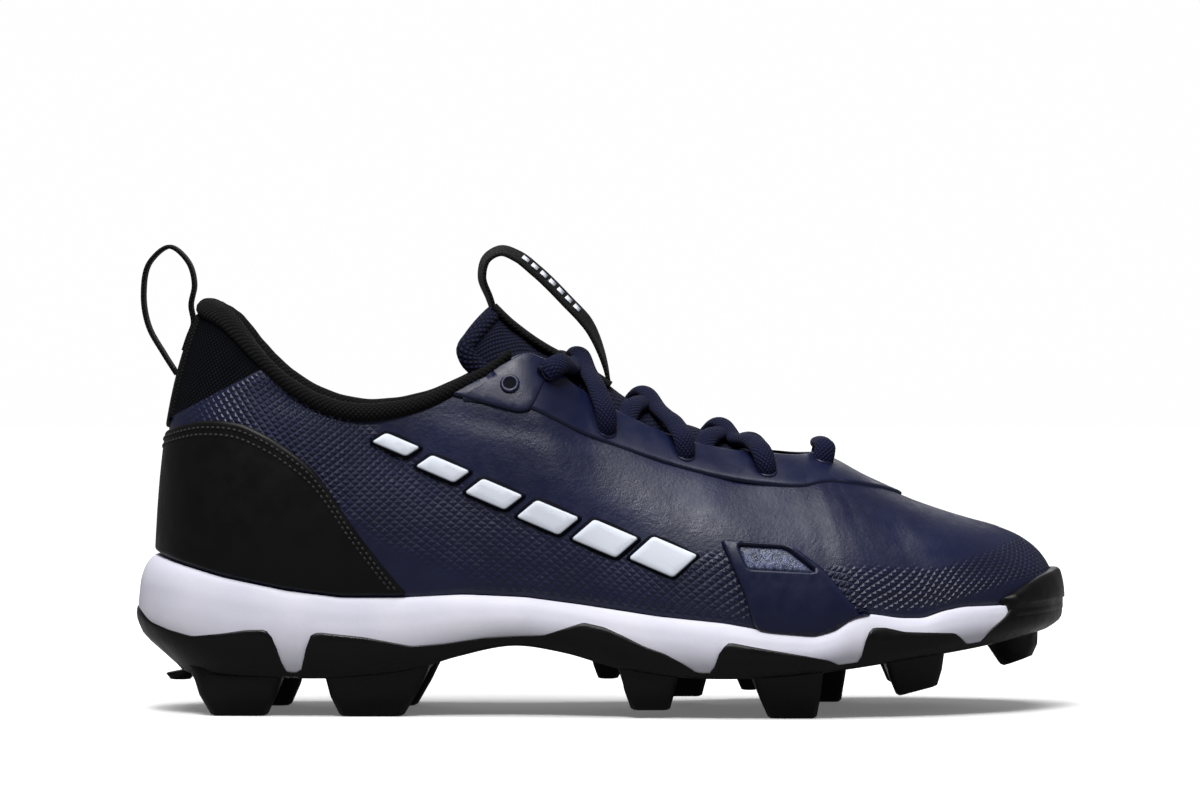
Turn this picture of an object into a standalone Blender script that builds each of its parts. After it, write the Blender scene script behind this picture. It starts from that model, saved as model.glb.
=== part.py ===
"""Moulded baseball cleat for the right foot, built as its maker would put it together.

Metres, +Z up. The toe points along +X and the outer (lateral) side of the shoe faces -Y.
The upper is lofted through ribs. A rib climbs from the feather line, where the upper meets
the midsole, to the crest: the collar, the edge of the throat or the middle of the vamp.
Rib number 0 is at the back of the heel and the last one is at the tip of the toe. The sole
uses the same ribs, so all the layers follow one footprint.
"""

import math
from collections import namedtuple

import bmesh
import bpy
import numpy as np
from mathutils import Matrix, Vector

# Lengths and widths. Widths are measured at the feather line.
LENGTH = 0.285
HEEL_WIDTH = 0.068
WAIST_WIDTH = 0.066
BALL_WIDTH = 0.095

# Heights of the upper's top edge, measured up from the underside of the plate.
HEEL_HEIGHT = 0.1095
ANKLE_HEIGHT = 0.0783
INSTEP_HEIGHT = 0.0976
THROAT_HEIGHT = 0.0656
TOE_HEIGHT = 0.0443

# The sole: studs, plate and foam.
STUD_HEIGHT = 0.012
PLATE_THICKNESS = 0.002
RIM_HEIGHT = 0.0362
ARCH_RISE = 0.0098
TOE_SPRING = 0.0125
HEEL_FLARE = 0.0063
SIDE_FLARE = 0.0036
TOE_FLARE = 0.0015
RUBBER_WALL = 0.0018
RUBBER_PROUD = 0.0006
RIM_WIDTH = 0.0034
FOAM_THICKNESS = 0.0105

# The upper and what is sewn to it.
UPPER_WALL = 0.0022
FIT_GAP = 0.0003
RIM_GAP = 0.0008

WIDTH_OF = {"heel": HEEL_WIDTH, "waist": WAIST_WIDTH, "ball": BALL_WIDTH}
HEIGHT_OF = {
    "heel": HEEL_HEIGHT,
    "ankle": ANKLE_HEIGHT,
    "instep": INSTEP_HEIGHT,
    "throat": THROAT_HEIGHT,
    "toe": TOE_HEIGHT,
}

# Ribs from heel to toe. foot_x and crest_x are shares of the length. The other plan sizes
# are shares of the zone's width, crest_z of the level's height, rise and drop of the rib's
# own height. lean and rise place the rib's first handle, shoulder and drop its second.
Rib = namedtuple(
    "Rib",
    "zone foot_x lateral medial level crest_x crest_lateral crest_medial crest_z"
    " lean rise shoulder drop",
)
RIBS = (
    Rib("heel", 0.0242, 0.000, 0.000, "heel", 0.070, 0.000, 0.000, 1.000, -0.018, 0.325, 0.150, 0.32),
    Rib("heel", 0.0300, 0.176, 0.176, "heel", 0.075, 0.132, 0.132, 0.994, -0.015, 0.325, 0.143, 0.32),
    Rib("heel", 0.0510, 0.331, 0.331, "heel", 0.098, 0.262, 0.257, 0.962, 0.000, 0.320, 0.120, 0.32),
    Rib("heel", 0.0920, 0.449, 0.441, "heel", 0.132, 0.375, 0.360, 0.874, 0.022, 0.320, 0.096, 0.32),
    Rib("heel", 0.1470, 0.500, 0.485, "ankle", 0.173, 0.441, 0.419, 1.092, 0.037, 0.320, 0.081, 0.32),
    Rib("heel", 0.2280, 0.515, 0.485, "ankle", 0.234, 0.478, 0.456, 1.000, 0.044, 0.330, 0.059, 0.32),
    Rib("waist", 0.316, 0.538, 0.462, "ankle", 0.304, 0.485, 0.470, 1.027, 0.045, 0.330, 0.068, 0.30),
    Rib("waist", 0.404, 0.561, 0.432, "instep", 0.374, 0.432, 0.439, 0.922, 0.045, 0.350, 0.121, 0.28),
    Rib("waist", 0.470, 0.598, 0.455, "instep", 0.428, 0.356, 0.394, 1.000, 0.045, 0.360, 0.182, 0.24),
    Rib("waist", 0.519, 0.629, 0.485, "instep", 0.481, 0.280, 0.333, 0.886, 0.045, 0.360, 0.212, 0.20),
    Rib("ball", 0.582, 0.468, 0.395, "throat", 0.554, 0.168, 0.216, 1.149, 0.032, 0.380, 0.179, 0.16),
    Rib("ball", 0.660, 0.489, 0.468, "throat", 0.628, 0.142, 0.195, 1.050, 0.032, 0.400, 0.200, 0.13),
    Rib("ball", 0.730, 0.479, 0.511, "throat", 0.702, 0.100, 0.160, 1.015, 0.030, 0.400, 0.210, 0.10),
    Rib("ball", 0.793, 0.442, 0.521, "throat", 0.741, -0.026, 0.026, 1.000, 0.026, 0.420, 0.253, 0.02),
    Rib("ball", 0.853, 0.384, 0.500, "throat", 0.786, -0.037, 0.037, 0.899, 0.022, 0.430, 0.242, 0.00),
    Rib("ball", 0.902, 0.305, 0.458, "toe", 0.828, -0.047, 0.047, 1.212, 0.016, 0.440, 0.210, 0.10),
    Rib("ball", 0.940, 0.211, 0.400, "toe", 0.867, -0.058, 0.058, 1.120, 0.009, 0.450, 0.168, 0.16),
    Rib("ball", 0.968, 0.105, 0.326, "toe", 0.896, -0.068, 0.068, 1.061, 0.004, 0.480, 0.137, 0.17),
    Rib("ball", 0.986, -0.011, 0.226, "toe", 0.918, -0.079, 0.079, 1.020, 0.000, 0.520, 0.124, 0.17),
    Rib("ball", 0.9925, -0.105, 0.105, "toe", 0.926, -0.089, 0.089, 1.000, 0.000, 0.550, 0.120, 0.16),
)
LAST_RIB = len(RIBS) - 1
THROAT_RIB = 13

# Height of the midsole's top edge over the plate's datum, as shares of RIM_HEIGHT.
RimRow = namedtuple("RimRow", "x height")
RIM_LINE = (
    RimRow(0.024, 1.000), RimRow(0.055, 0.930), RimRow(0.100, 0.835), RimRow(0.165, 0.732),
    RimRow(0.225, 0.672), RimRow(0.285, 0.672), RimRow(0.355, 0.700), RimRow(0.420, 0.680),
    RimRow(0.480, 0.620), RimRow(0.560, 0.528), RimRow(0.630, 0.474), RimRow(0.680, 0.405),
    RimRow(0.725, 0.374), RimRow(0.746, 0.420), RimRow(0.764, 0.520), RimRow(0.784, 0.550),
    RimRow(0.815, 0.510), RimRow(0.842, 0.505), RimRow(0.862, 0.560), RimRow(0.885, 0.592),
    RimRow(0.930, 0.592), RimRow(0.992, 0.605),
)

# Underside of the plate: how much of the arch's rise and of the toe's spring it has. foam is
# the depth of foam over the plate under the foot, in shares of FOAM_THICKNESS.
PlateRow = namedtuple("PlateRow", "x arch spring foam")
PLATE_LINE = (
    PlateRow(0.000, 0.10, 0.00, 1.90), PlateRow(0.060, 0.03, 0.00, 1.85),
    PlateRow(0.120, 0.00, 0.00, 1.80), PlateRow(0.240, 0.00, 0.00, 1.60),
    PlateRow(0.300, 0.22, 0.00, 1.35), PlateRow(0.350, 0.65, 0.00, 1.00),
    PlateRow(0.410, 0.98, 0.00, 0.80), PlateRow(0.460, 0.78, 0.00, 0.88),
    PlateRow(0.520, 0.30, 0.00, 0.98), PlateRow(0.580, 0.06, 0.00, 0.98),
    PlateRow(0.660, 0.00, 0.02, 0.90), PlateRow(0.750, 0.00, 0.20, 0.76),
    PlateRow(0.830, 0.00, 0.46, 0.76), PlateRow(0.900, 0.00, 0.68, 0.70),
    PlateRow(0.960, 0.00, 0.88, 0.60), PlateRow(1.000, 0.00, 1.00, 0.50),
)

# How far the sole's side wall stands out from the feather line, in shares of the flare of
# the heel, of the side and of the toe. h is 0 at the plate's underside and 1 at the rim.
WallRow = namedtuple("WallRow", "h heel side toe")
WALL_LINE = (
    WallRow(0.00, -1.45, -0.45, -2.60), WallRow(0.15, -0.40, 0.40, -1.00),
    WallRow(0.30, 0.62, 0.85, 0.35), WallRow(0.45, 0.98, 1.00, 0.90),
    WallRow(0.60, 0.96, 0.98, 1.00), WallRow(0.80, 0.84, 0.75, 1.00),
    WallRow(0.93, 0.56, 0.45, 1.00), WallRow(1.00, 0.13, 0.22, 1.00),
)

# Top edge of the black rubber on the sole's side, in shares of RIM_HEIGHT over the datum.
# It rises as a pad over each stud, and the foam shows down to the plate between the pads.
EdgeRow = namedtuple("EdgeRow", "x height")
EDGE_LINE = (
    EdgeRow(0.0242, 0.575), EdgeRow(0.035, 0.450), EdgeRow(0.052, 0.390), EdgeRow(0.073, 0.345),
    EdgeRow(0.102, 0.376), EdgeRow(0.125, 0.408), EdgeRow(0.146, 0.412), EdgeRow(0.154, 0.340),
    EdgeRow(0.166, 0.045), EdgeRow(0.184, 0.045), EdgeRow(0.190, 0.350), EdgeRow(0.200, 0.392),
    EdgeRow(0.250, 0.350), EdgeRow(0.300, 0.274), EdgeRow(0.334, 0.293), EdgeRow(0.377, 0.343),
    EdgeRow(0.440, 0.367), EdgeRow(0.461, 0.425), EdgeRow(0.482, 0.480), EdgeRow(0.504, 0.442),
    EdgeRow(0.525, 0.367), EdgeRow(0.546, 0.285), EdgeRow(0.567, 0.227), EdgeRow(0.588, 0.135),
    EdgeRow(0.604, 0.047), EdgeRow(0.618, 0.047), EdgeRow(0.623, 0.220), EdgeRow(0.634, 0.326),
    EdgeRow(0.673, 0.268), EdgeRow(0.715, 0.210), EdgeRow(0.740, 0.170), EdgeRow(0.758, 0.100),
    EdgeRow(0.773, 0.100), EdgeRow(0.778, 0.330), EdgeRow(0.785, 0.440), EdgeRow(0.800, 0.440),
    EdgeRow(0.821, 0.400), EdgeRow(0.874, 0.380), EdgeRow(0.888, 0.270), EdgeRow(0.901, 0.270),
    EdgeRow(0.909, 0.400), EdgeRow(0.925, 0.500), EdgeRow(0.938, 0.610), EdgeRow(0.960, 0.640),
    EdgeRow(0.992, 0.650),
)

# Studs under the plate. x and span are shares of the length at the stud's tip; side is the
# place across the sole, -1 on the outer edge and +1 on the inner one; width is a share of
# BALL_WIDTH. back and front are how far the stud's faces spread from tip to plate, in stud
# heights. heel_lift and toe_lift raise the tip's two ends, in shares of TOE_SPRING.
Stud = namedtuple("Stud", "x span side width back front heel_lift toe_lift")
STUDS = (
    Stud(0.1160, 0.060, -0.76, 0.140, 0.60, 0.42, 0.00, 0.00),
    Stud(0.1340, 0.060, 0.76, 0.140, 0.60, 0.42, 0.00, 0.00),
    Stud(0.2570, 0.068, -0.76, 0.140, 0.45, 0.75, 0.00, 0.00),
    Stud(0.2670, 0.068, 0.76, 0.140, 0.45, 0.75, 0.00, 0.00),
    Stud(0.0480, 0.022, 0.00, 0.085, 0.20, 0.20, 0.75, 0.75),
    Stud(0.5080, 0.022, 0.00, 0.110, 0.20, 0.20, 0.80, 0.80),
    Stud(0.5530, 0.042, -0.80, 0.115, 0.35, 0.20, 0.19, 0.19),
    Stud(0.5900, 0.042, 0.80, 0.115, 0.35, 0.20, 0.19, 0.19),
    Stud(0.6600, 0.018, 0.00, 0.100, 0.20, 0.20, 0.50, 0.50),
    Stud(0.7030, 0.052, -0.80, 0.115, 0.45, 0.18, 0.00, 0.00),
    Stud(0.7380, 0.052, 0.80, 0.115, 0.45, 0.18, 0.00, 0.00),
    Stud(0.8360, 0.044, -0.76, 0.110, 0.35, 0.20, 0.50, 0.72),
    Stud(0.8360, 0.044, 0.76, 0.110, 0.35, 0.20, 0.50, 0.72),
    Stud(0.9490, 0.034, 0.10, 0.170, 0.45, 0.25, 1.06, 1.28),
)

# Lines on the upper, one row for each place along the ribs. v climbs a rib from 0 to 1.
LineRow = namedtuple("LineRow", "rib low high")
COUNTER_LINE = (
    LineRow(0.00, 0.012, 0.50), LineRow(1.00, 0.012, 0.53), LineRow(2.00, 0.012, 0.60),
    LineRow(3.00, 0.012, 0.71), LineRow(4.00, 0.012, 0.73), LineRow(4.45, 0.012, 0.69),
    LineRow(4.75, 0.012, 0.60), LineRow(5.10, 0.012, 0.40), LineRow(5.46, 0.012, 0.18),
    LineRow(5.74, 0.012, 0.03),
)
EYESTAY_LINE = (
    LineRow(6.60, 0.955, 0.985), LineRow(7.00, 0.870, 0.985), LineRow(8.00, 0.695, 0.985),
    LineRow(9.00, 0.727, 0.985), LineRow(10.0, 0.752, 0.985), LineRow(11.0, 0.735, 0.985),
    LineRow(12.0, 0.710, 0.985), LineRow(12.7, 0.685, 0.985), LineRow(13.2, 0.680, 1.000),
    LineRow(14.0, 0.800, 1.000), LineRow(14.5, 0.900, 1.000), LineRow(14.9, 0.985, 1.000),
)
SIDE_PANEL_LINE = (
    LineRow(10.75, 0.39, 0.45), LineRow(11.00, 0.13, 0.455), LineRow(11.20, 0.02, 0.45),
    LineRow(11.60, 0.02, 0.45), LineRow(12.00, 0.02, 0.34), LineRow(12.45, 0.02, 0.13),
    LineRow(12.68, 0.02, 0.05),
)
TOE_BUMPER_LINE = (
    LineRow(15.6, 0.015, 0.04), LineRow(16.0, 0.015, 0.10), LineRow(17.0, 0.015, 0.22),
    LineRow(18.0, 0.015, 0.27), LineRow(19.0, 0.015, 0.29),
)

# Section of the collar's roll from its outer foot over the top and down inside, in shares of
# COLLAR_PADDING from the upper's top edge. wall is 1 for what lies inside the upper's wall.
SectionRow = namedtuple("SectionRow", "out up wall")
COLLAR_SECTION = (
    SectionRow(0.10, 0.07, 0.0), SectionRow(0.12, 0.28, 0.0), SectionRow(-0.10, 0.50, 0.0),
    SectionRow(-0.25, 0.60, 0.5), SectionRow(-0.45, 0.45, 1.0), SectionRow(-0.65, 0.00, 1.0),
    SectionRow(-0.65, -0.60, 1.0), SectionRow(-0.50, -1.20, 1.0), SectionRow(-0.22, -1.60, 1.0),
    SectionRow(-0.04, -1.45, 1.0), SectionRow(0.00, 0.07, 1.0),
)
COLLAR_END = 7.6

# The tongue's middle line from under the vamp to its tip, with its arch. x is a share of
# LENGTH, z of INSTEP_HEIGHT over the datum, width and drop of half of TONGUE_WIDTH, and
# setback of TONGUE_WIDTH.
TongueRow = namedtuple("TongueRow", "row x z width drop setback")
TONGUE_LINE = (
    TongueRow(0, 0.7800, 0.525, 0.95, 0.90, 0.00), TongueRow(1, 0.7300, 0.592, 1.00, 0.95, 0.00),
    TongueRow(2, 0.6667, 0.678, 1.02, 1.05, 0.00), TongueRow(3, 0.6035, 0.762, 1.04, 1.15, 0.00),
    TongueRow(4, 0.5439, 0.832, 1.06, 1.22, 0.02), TongueRow(5, 0.4842, 0.940, 1.10, 1.25, 0.05),
    TongueRow(6, 0.4351, 1.020, 1.02, 1.20, 0.12), TongueRow(7, 0.4035, 1.088, 0.94, 1.10, 0.20),
    TongueRow(8, 0.3850, 1.140, 0.88, 1.00, 0.24),
)
TONGUE_REACH = 64
TONGUE_SHIFT = 0.0015

# The pull loops. On the heel x is a share of LENGTH and up is in loop heights over the
# upper's top. On the tongue both are in loop heights from the tongue's tip.
LOOP_HEIGHT = 0.0212
LoopRow = namedtuple("LoopRow", "x up")
HEEL_LOOP = (
    LoopRow(0.0595, 0.13), LoopRow(0.0632, 0.42), LoopRow(0.0570, 0.74), LoopRow(0.0365, 0.97),
    LoopRow(0.0160, 0.76), LoopRow(0.0085, 0.28), LoopRow(0.0140, -0.18), LoopRow(0.0245, -0.60),
    LoopRow(0.0310, -0.86),
)
TONGUE_LOOP = (
    LoopRow(0.02, 0.06), LoopRow(-0.22, 0.52), LoopRow(-0.13, 0.76), LoopRow(0.06, 0.83),
    LoopRow(0.56, 0.62), LoopRow(1.03, 0.10), LoopRow(1.42, -0.30), LoopRow(1.72, -0.62),
    LoopRow(1.88, -0.82),
)
TONGUE_LOOP_TURNS = ((0.0, 0), (0.3, 5), (0.55, 38), (0.8, 30), (1.0, 0))

# Lace holes from the front one to the spare one at the top.
Eyelet = namedtuple("Eyelet", "rib v")
EYELETS = (
    Eyelet(12.85, 0.860), Eyelet(11.60, 0.800), Eyelet(10.45, 0.830), Eyelet(9.30, 0.800),
    Eyelet(8.25, 0.920), Eyelet(7.55, 0.870),
)

# Rows of faces up a rib.
ROWS = 6

INSOLE_THICKNESS = 0.004
OVERLAY_THICKNESS = 0.0009
OVERLAY_GAP = 0.0007
BUMPER_THICKNESS = 0.0019
EYELET_DIAMETER = 0.0046
LACE_DIAMETER = 0.0058
STRAP_THICKNESS = 0.0013
STRAP_WIDTH = 0.012
TONGUE_THICKNESS = 0.005
TONGUE_WIDTH = 0.046
COLLAR_PADDING = 0.0080

# Shares of the length between which the sole's outward directions stay square to the shoe,
# and how far the toe's centre lies to the inner side, as a share of BALL_WIDTH.
HEEL_CENTRE = 0.125
TOE_CENTRE = 0.853
TOE_SKEW = 0.058
SKEW_START = 0.7

# Studs: the bevel of the tip, the growth of the width from tip to plate and the chamfer of the
# corners, both as shares of the half width, and the height share of the ring over the tip.
STUD_BEVEL = 0.0012
STUD_SWELL = 0.38
STUD_TIP_TRIM = 0.14
STUD_CHAMFER = 0.28
STUD_TIP_RING = 0.12
STUD_INSET = 0.3

# Points closer than this are one point, and edges shorter than half of it are taken out.
MERGE_DISTANCE = 0.00002

# Step along and up the upper at which its slope is read, in ribs and shares.
SLOPE_STEP = 0.02


def along(rows, field, x):
    """Read a column of a table at x, on a smooth curve through its rows."""
    places = np.array([row[0] for row in rows])
    values = np.array([getattr(row, field) for row in rows])
    slopes = np.gradient(values, places)
    x = min(max(x, places[0]), places[-1])
    k = min(int(np.searchsorted(places, x, side="right")) - 1, len(places) - 2)
    step = places[k + 1] - places[k]
    t = (x - places[k]) / step
    return (
        values[k] * (1 + 2 * t) * (1 - t) ** 2 + slopes[k] * step * t * (1 - t) ** 2
        + values[k + 1] * t * t * (3 - 2 * t) + slopes[k + 1] * step * t * t * (t - 1)
    )


def straight(rows, field, x):
    """Read a column of a table at x, on straight lines between its rows."""
    return float(np.interp(x, [row[0] for row in rows], [getattr(row, field) for row in rows]))


def plate_z(x):
    """Height of the plate's underside at a distance x from the heel."""
    arch = along(PLATE_LINE, "arch", x / LENGTH) * ARCH_RISE
    return STUD_HEIGHT + arch + along(PLATE_LINE, "spring", x / LENGTH) * TOE_SPRING


def rim_z(x):
    """Height of the feather line, the midsole's top edge."""
    return STUD_HEIGHT + straight(RIM_LINE, "height", x / LENGTH) * RIM_HEIGHT


def rib_values(index):
    """Plan places, crest height and handles of one rib of the closed ring, in metres."""
    lateral = index <= LAST_RIB
    rib = RIBS[index if lateral else 2 * LAST_RIB - index]
    width = WIDTH_OF[rib.zone]
    side = -1 if lateral else 1
    foot = side * width * (rib.lateral if lateral else rib.medial)
    crest = side * width * (rib.crest_lateral if lateral else rib.crest_medial)
    return (
        rib.foot_x * LENGTH, foot, rib.crest_x * LENGTH, crest,
        STUD_HEIGHT + rib.crest_z * HEIGHT_OF[rib.level],
        rib.lean * width, rib.rise, rib.shoulder * width, rib.drop,
    )


RING = 2 * LAST_RIB
VALUES = np.array([rib_values(k) for k in range(RING)])
CHORDS = np.hypot(*(np.roll(VALUES, -1, axis=0) - VALUES)[:, :2].T)


def ring_values(rib, side):
    """The rib's values at any place along one side, on a smooth closed curve."""
    u = rib if side < 0 else RING - rib
    k = int(math.floor(u)) % RING
    t = u - math.floor(u)
    slopes = []
    for j in (k, (k + 1) % RING):
        before, after = CHORDS[j - 1], CHORDS[j]
        rise_in = (VALUES[j] - VALUES[j - 1]) / before
        rise_out = (VALUES[(j + 1) % RING] - VALUES[j]) / after
        slopes.append((rise_in * after + rise_out * before) / (before + after) * CHORDS[k])
    first, second = VALUES[k], VALUES[(k + 1) % RING]
    return (
        first * (1 + 2 * t) * (1 - t) ** 2 + slopes[0] * t * (1 - t) ** 2
        + second * t * t * (3 - 2 * t) + slopes[1] * t * t * (t - 1)
    )


def station(rib, side):
    """Foot point and outward direction, in plan, of the rib on one side."""
    foot_x, foot_y = ring_values(rib, side)[:2]
    centre_x = min(max(foot_x, HEEL_CENTRE * LENGTH), TOE_CENTRE * LENGTH)
    skew = np.interp(foot_x / LENGTH, (SKEW_START, TOE_CENTRE), (0, TOE_SKEW))
    centre_y = skew * BALL_WIDTH
    out = np.array((foot_x - centre_x, foot_y - centre_y))
    return foot_x, foot_y, out / np.hypot(*out)


def upper_point(rib, side, v):
    """A point on the upper's outer face: rib along the shoe, v up the rib."""
    values = ring_values(rib, side)
    if rib >= THROAT_RIB:
        values[2:5] = (values[2:5] + ring_values(rib, -side)[2:5]) / 2
    foot_x, foot_y, crest_x, crest_y, crest_z, lean, rise, shoulder, drop = values
    out = np.array((*station(rib, side)[2], 0.0))
    foot = np.array((foot_x, foot_y, rim_z(foot_x)))
    crest = np.array((crest_x, crest_y, crest_z))
    height = crest_z - foot[2]
    up = np.array((0.0, 0.0, 1.0))
    low = foot + out * lean + up * rise * height
    high = crest + out * shoulder - up * drop * height
    return (
        foot * (1 - v) ** 3 + 3 * low * v * (1 - v) ** 2
        + 3 * high * v * v * (1 - v) + crest * v ** 3
    )


def upper_normal(rib, side, v):
    """The direction out of the upper at a point of its outer face."""
    step = SLOPE_STEP
    run = upper_point(rib + step, side, v) - upper_point(rib - step, side, v)
    rise = upper_point(rib, side, min(v + step, 1)) - upper_point(rib, side, max(v - step, 0))
    normal = np.cross(run, rise) * -side
    return normal / np.linalg.norm(normal)


def lifted(rib, side, v, lift):
    """A point at a distance lift outside the upper's face."""
    return upper_point(rib, side, v) + upper_normal(rib, side, v) * lift


def material(name, colour, roughness):
    """A plain Principled material."""
    made = bpy.data.materials.new(name)
    made.use_nodes = True
    shader = made.node_tree.nodes["Principled BSDF"]
    shader.inputs["Base Color"].default_value = (*colour, 1.0)
    shader.inputs["Roughness"].default_value = roughness
    made.diffuse_color = (*colour, 1.0)
    return made


def link(name, mesh, finish, collection):
    """Put a mesh in a collection as a named object."""
    made = bpy.data.objects.new(name, mesh)
    made.data.materials.clear()
    made.data.materials.append(finish)
    collection.objects.link(made)
    return made


def grid_mesh(name, columns, flip):
    """A mesh of quads through columns of points, with coinciding points merged."""
    work = bmesh.new()
    verts = [[work.verts.new(point) for point in column] for column in columns]
    for left, right in zip(verts, verts[1:]):
        for j in range(len(left) - 1):
            corners = (left[j], right[j], right[j + 1], left[j + 1])
            work.faces.new(reversed(corners) if flip else corners)
    bmesh.ops.remove_doubles(work, verts=work.verts, dist=MERGE_DISTANCE)
    bmesh.ops.dissolve_degenerate(work, edges=work.edges, dist=MERGE_DISTANCE / 2)
    mesh = bpy.data.meshes.new(name)
    work.to_mesh(mesh)
    work.free()
    return mesh


def two_sided_mesh(name, rows_of, ribs):
    """One open surface over both sides of the shoe, joined where the sides meet."""
    work = bmesh.new()
    for side in (-1, 1):
        verts = [[work.verts.new(point) for point in rows_of(rib, side)] for rib in ribs]
        for left, right in zip(verts, verts[1:]):
            for j in range(len(left) - 1):
                corners = (left[j], right[j], right[j + 1], left[j + 1])
                work.faces.new(corners if side < 0 else reversed(corners))
    bmesh.ops.remove_doubles(work, verts=work.verts, dist=MERGE_DISTANCE)
    bmesh.ops.dissolve_degenerate(work, edges=work.edges, dist=MERGE_DISTANCE / 2)
    mesh = bpy.data.meshes.new(name)
    work.to_mesh(mesh)
    work.free()
    return mesh


def thicken(piece, thickness, outward):
    """Give an open surface its thickness, on one side of it."""
    solid = piece.modifiers.new("Thickness", "SOLIDIFY")
    solid.thickness = thickness
    solid.offset = 1 if outward else -1
    return solid


def solid_between(name, rings, finish, collection):
    """A closed body through rings of points, closed across the shoe at both ends.

    Each ring runs from the heel along the outer side to the toe, and back along the inner
    side, so that the two sides pair up across the shoe."""
    work = bmesh.new()
    verts = [[work.verts.new(point) for point in ring] for ring in rings]
    count = len(verts[0])
    for low, high in zip(verts, verts[1:]):
        for i in range(count):
            nxt = (i + 1) % count
            work.faces.new((low[i], low[nxt], high[nxt], high[i]))
    half = count // 2
    for ring, upward in ((verts[0], False), (verts[-1], True)):
        for i in range(half):
            here, there = ring[i], ring[i + 1]
            back_there, back_here = ring[(count - i - 1) % count], ring[(count - i) % count]
            corners = []
            for corner in (here, there, back_there, back_here):
                if corner not in corners:
                    corners.append(corner)
            if len(corners) > 2:
                work.faces.new(corners if upward else reversed(corners))
    bmesh.ops.remove_doubles(work, verts=work.verts, dist=MERGE_DISTANCE / 2)
    bmesh.ops.dissolve_degenerate(work, edges=work.edges, dist=MERGE_DISTANCE / 2)
    bmesh.ops.recalc_face_normals(work, faces=work.faces)
    mesh = bpy.data.meshes.new(name)
    work.to_mesh(mesh)
    work.free()
    return link(name, mesh, finish, collection)


def spaced(first_choice, second_choice, apart):
    """Merge two lists of places, leaving out what lies close to a first choice."""
    merged = sorted(first_choice)
    for place in sorted(second_choice):
        if min(abs(place - other) for other in merged) > apart:
            merged.append(place)
    return sorted(merged)


def to_ribs(places):
    """Turn places along the feather line into places along the ribs."""
    foot = [rib.foot_x for rib in RIBS]
    return [float(np.interp(place, foot, range(len(foot)))) for place in places]


FOOT_PLACES = [rib.foot_x for rib in RIBS]
RIM_PLACES = [FOOT_PLACES[0], *(row.x for row in RIM_LINE[1:-1]), FOOT_PLACES[-1]]
UPPER_PLACES = spaced(RIM_PLACES, FOOT_PLACES[1:-1], 0.003)
SOLE_PLACES = spaced(UPPER_PLACES, [row.x for row in EDGE_LINE[1:-1]], 0.004)
UPPER_RIBS = to_ribs(UPPER_PLACES)
SOLE_RIBS = to_ribs(SOLE_PLACES)


def sole_ring(point_of):
    """One closed ring of points around the sole, from a function of rib and side."""
    lateral = [point_of(rib, -1) for rib in SOLE_RIBS]
    medial = [point_of(rib, 1) for rib in SOLE_RIBS[-2:0:-1]]
    return lateral + medial


def flare(out, h):
    """How far the sole's wall stands outside the feather line at height share h."""
    heel = max(0.0, -out[0]) ** 2
    toe = max(0.0, out[0]) ** 2
    side = 1 - heel - toe
    return (
        heel * HEEL_FLARE * straight(WALL_LINE, "heel", h)
        + side * SIDE_FLARE * straight(WALL_LINE, "side", h)
        + toe * TOE_FLARE * straight(WALL_LINE, "toe", h)
    )


def edge_z(x):
    """Height of the rubber's top edge on the side of the sole."""
    height = STUD_HEIGHT + straight(EDGE_LINE, "height", x / LENGTH) * RIM_HEIGHT
    lowest = plate_z(x) + PLATE_THICKNESS + FIT_GAP
    return min(max(height, lowest), rim_z(x) - RIM_GAP - FIT_GAP)


def wall_point(rib, side, z, inset):
    """A point on the sole's side wall at height z, moved inwards by inset."""
    foot_x, foot_y, out = station(rib, side)
    h = (z - plate_z(foot_x)) / (rim_z(foot_x) - plate_z(foot_x))
    reach = flare(out, h) - inset
    return (foot_x + out[0] * reach, foot_y + out[1] * reach, z)


def build_outsole(finish, collection, cutters):
    """The rubber plate with its side pads, and the studs moulded on it."""
    def at(share, inset):
        def point(rib, side):
            x = station(rib, side)[0]
            base = plate_z(x)
            return wall_point(rib, side, base + (edge_z(x) - base) * share, inset)
        return point

    def inner_foot(rib, side):
        z = plate_z(station(rib, side)[0]) + PLATE_THICKNESS
        return wall_point(rib, side, z, RUBBER_WALL - RUBBER_PROUD)

    rings = [sole_ring(at(share, -RUBBER_PROUD)) for share in (0.0, 0.4, 1.0)]
    rings.append(sole_ring(at(1.0, RUBBER_WALL - RUBBER_PROUD)))
    rings += [sole_ring(inner_wall), sole_ring(inner_foot)]
    outsole = solid_between("outsole", rings, finish, collection)
    studs = build_studs(cutters)
    union = outsole.modifiers.new("Studs", "BOOLEAN")
    union.operation = "UNION"
    union.solver = "EXACT"
    union.object = studs
    return outsole


def inner_wall(rib, side):
    """Half-way down the inside of the rubber's side wall."""
    x = station(rib, side)[0]
    foot = plate_z(x) + PLATE_THICKNESS
    return wall_point(rib, side, foot + (edge_z(x) - foot) * 0.5, RUBBER_WALL - RUBBER_PROUD)


def side_y(x, side):
    """Where the plate's edge lies across the shoe, on one side."""
    foot = [rib.foot_x for rib in RIBS]
    rib = float(np.interp(x / LENGTH, foot, range(len(foot))))
    return wall_point(rib, side, plate_z(station(rib, side)[0]), -RUBBER_PROUD)[1]


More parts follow.
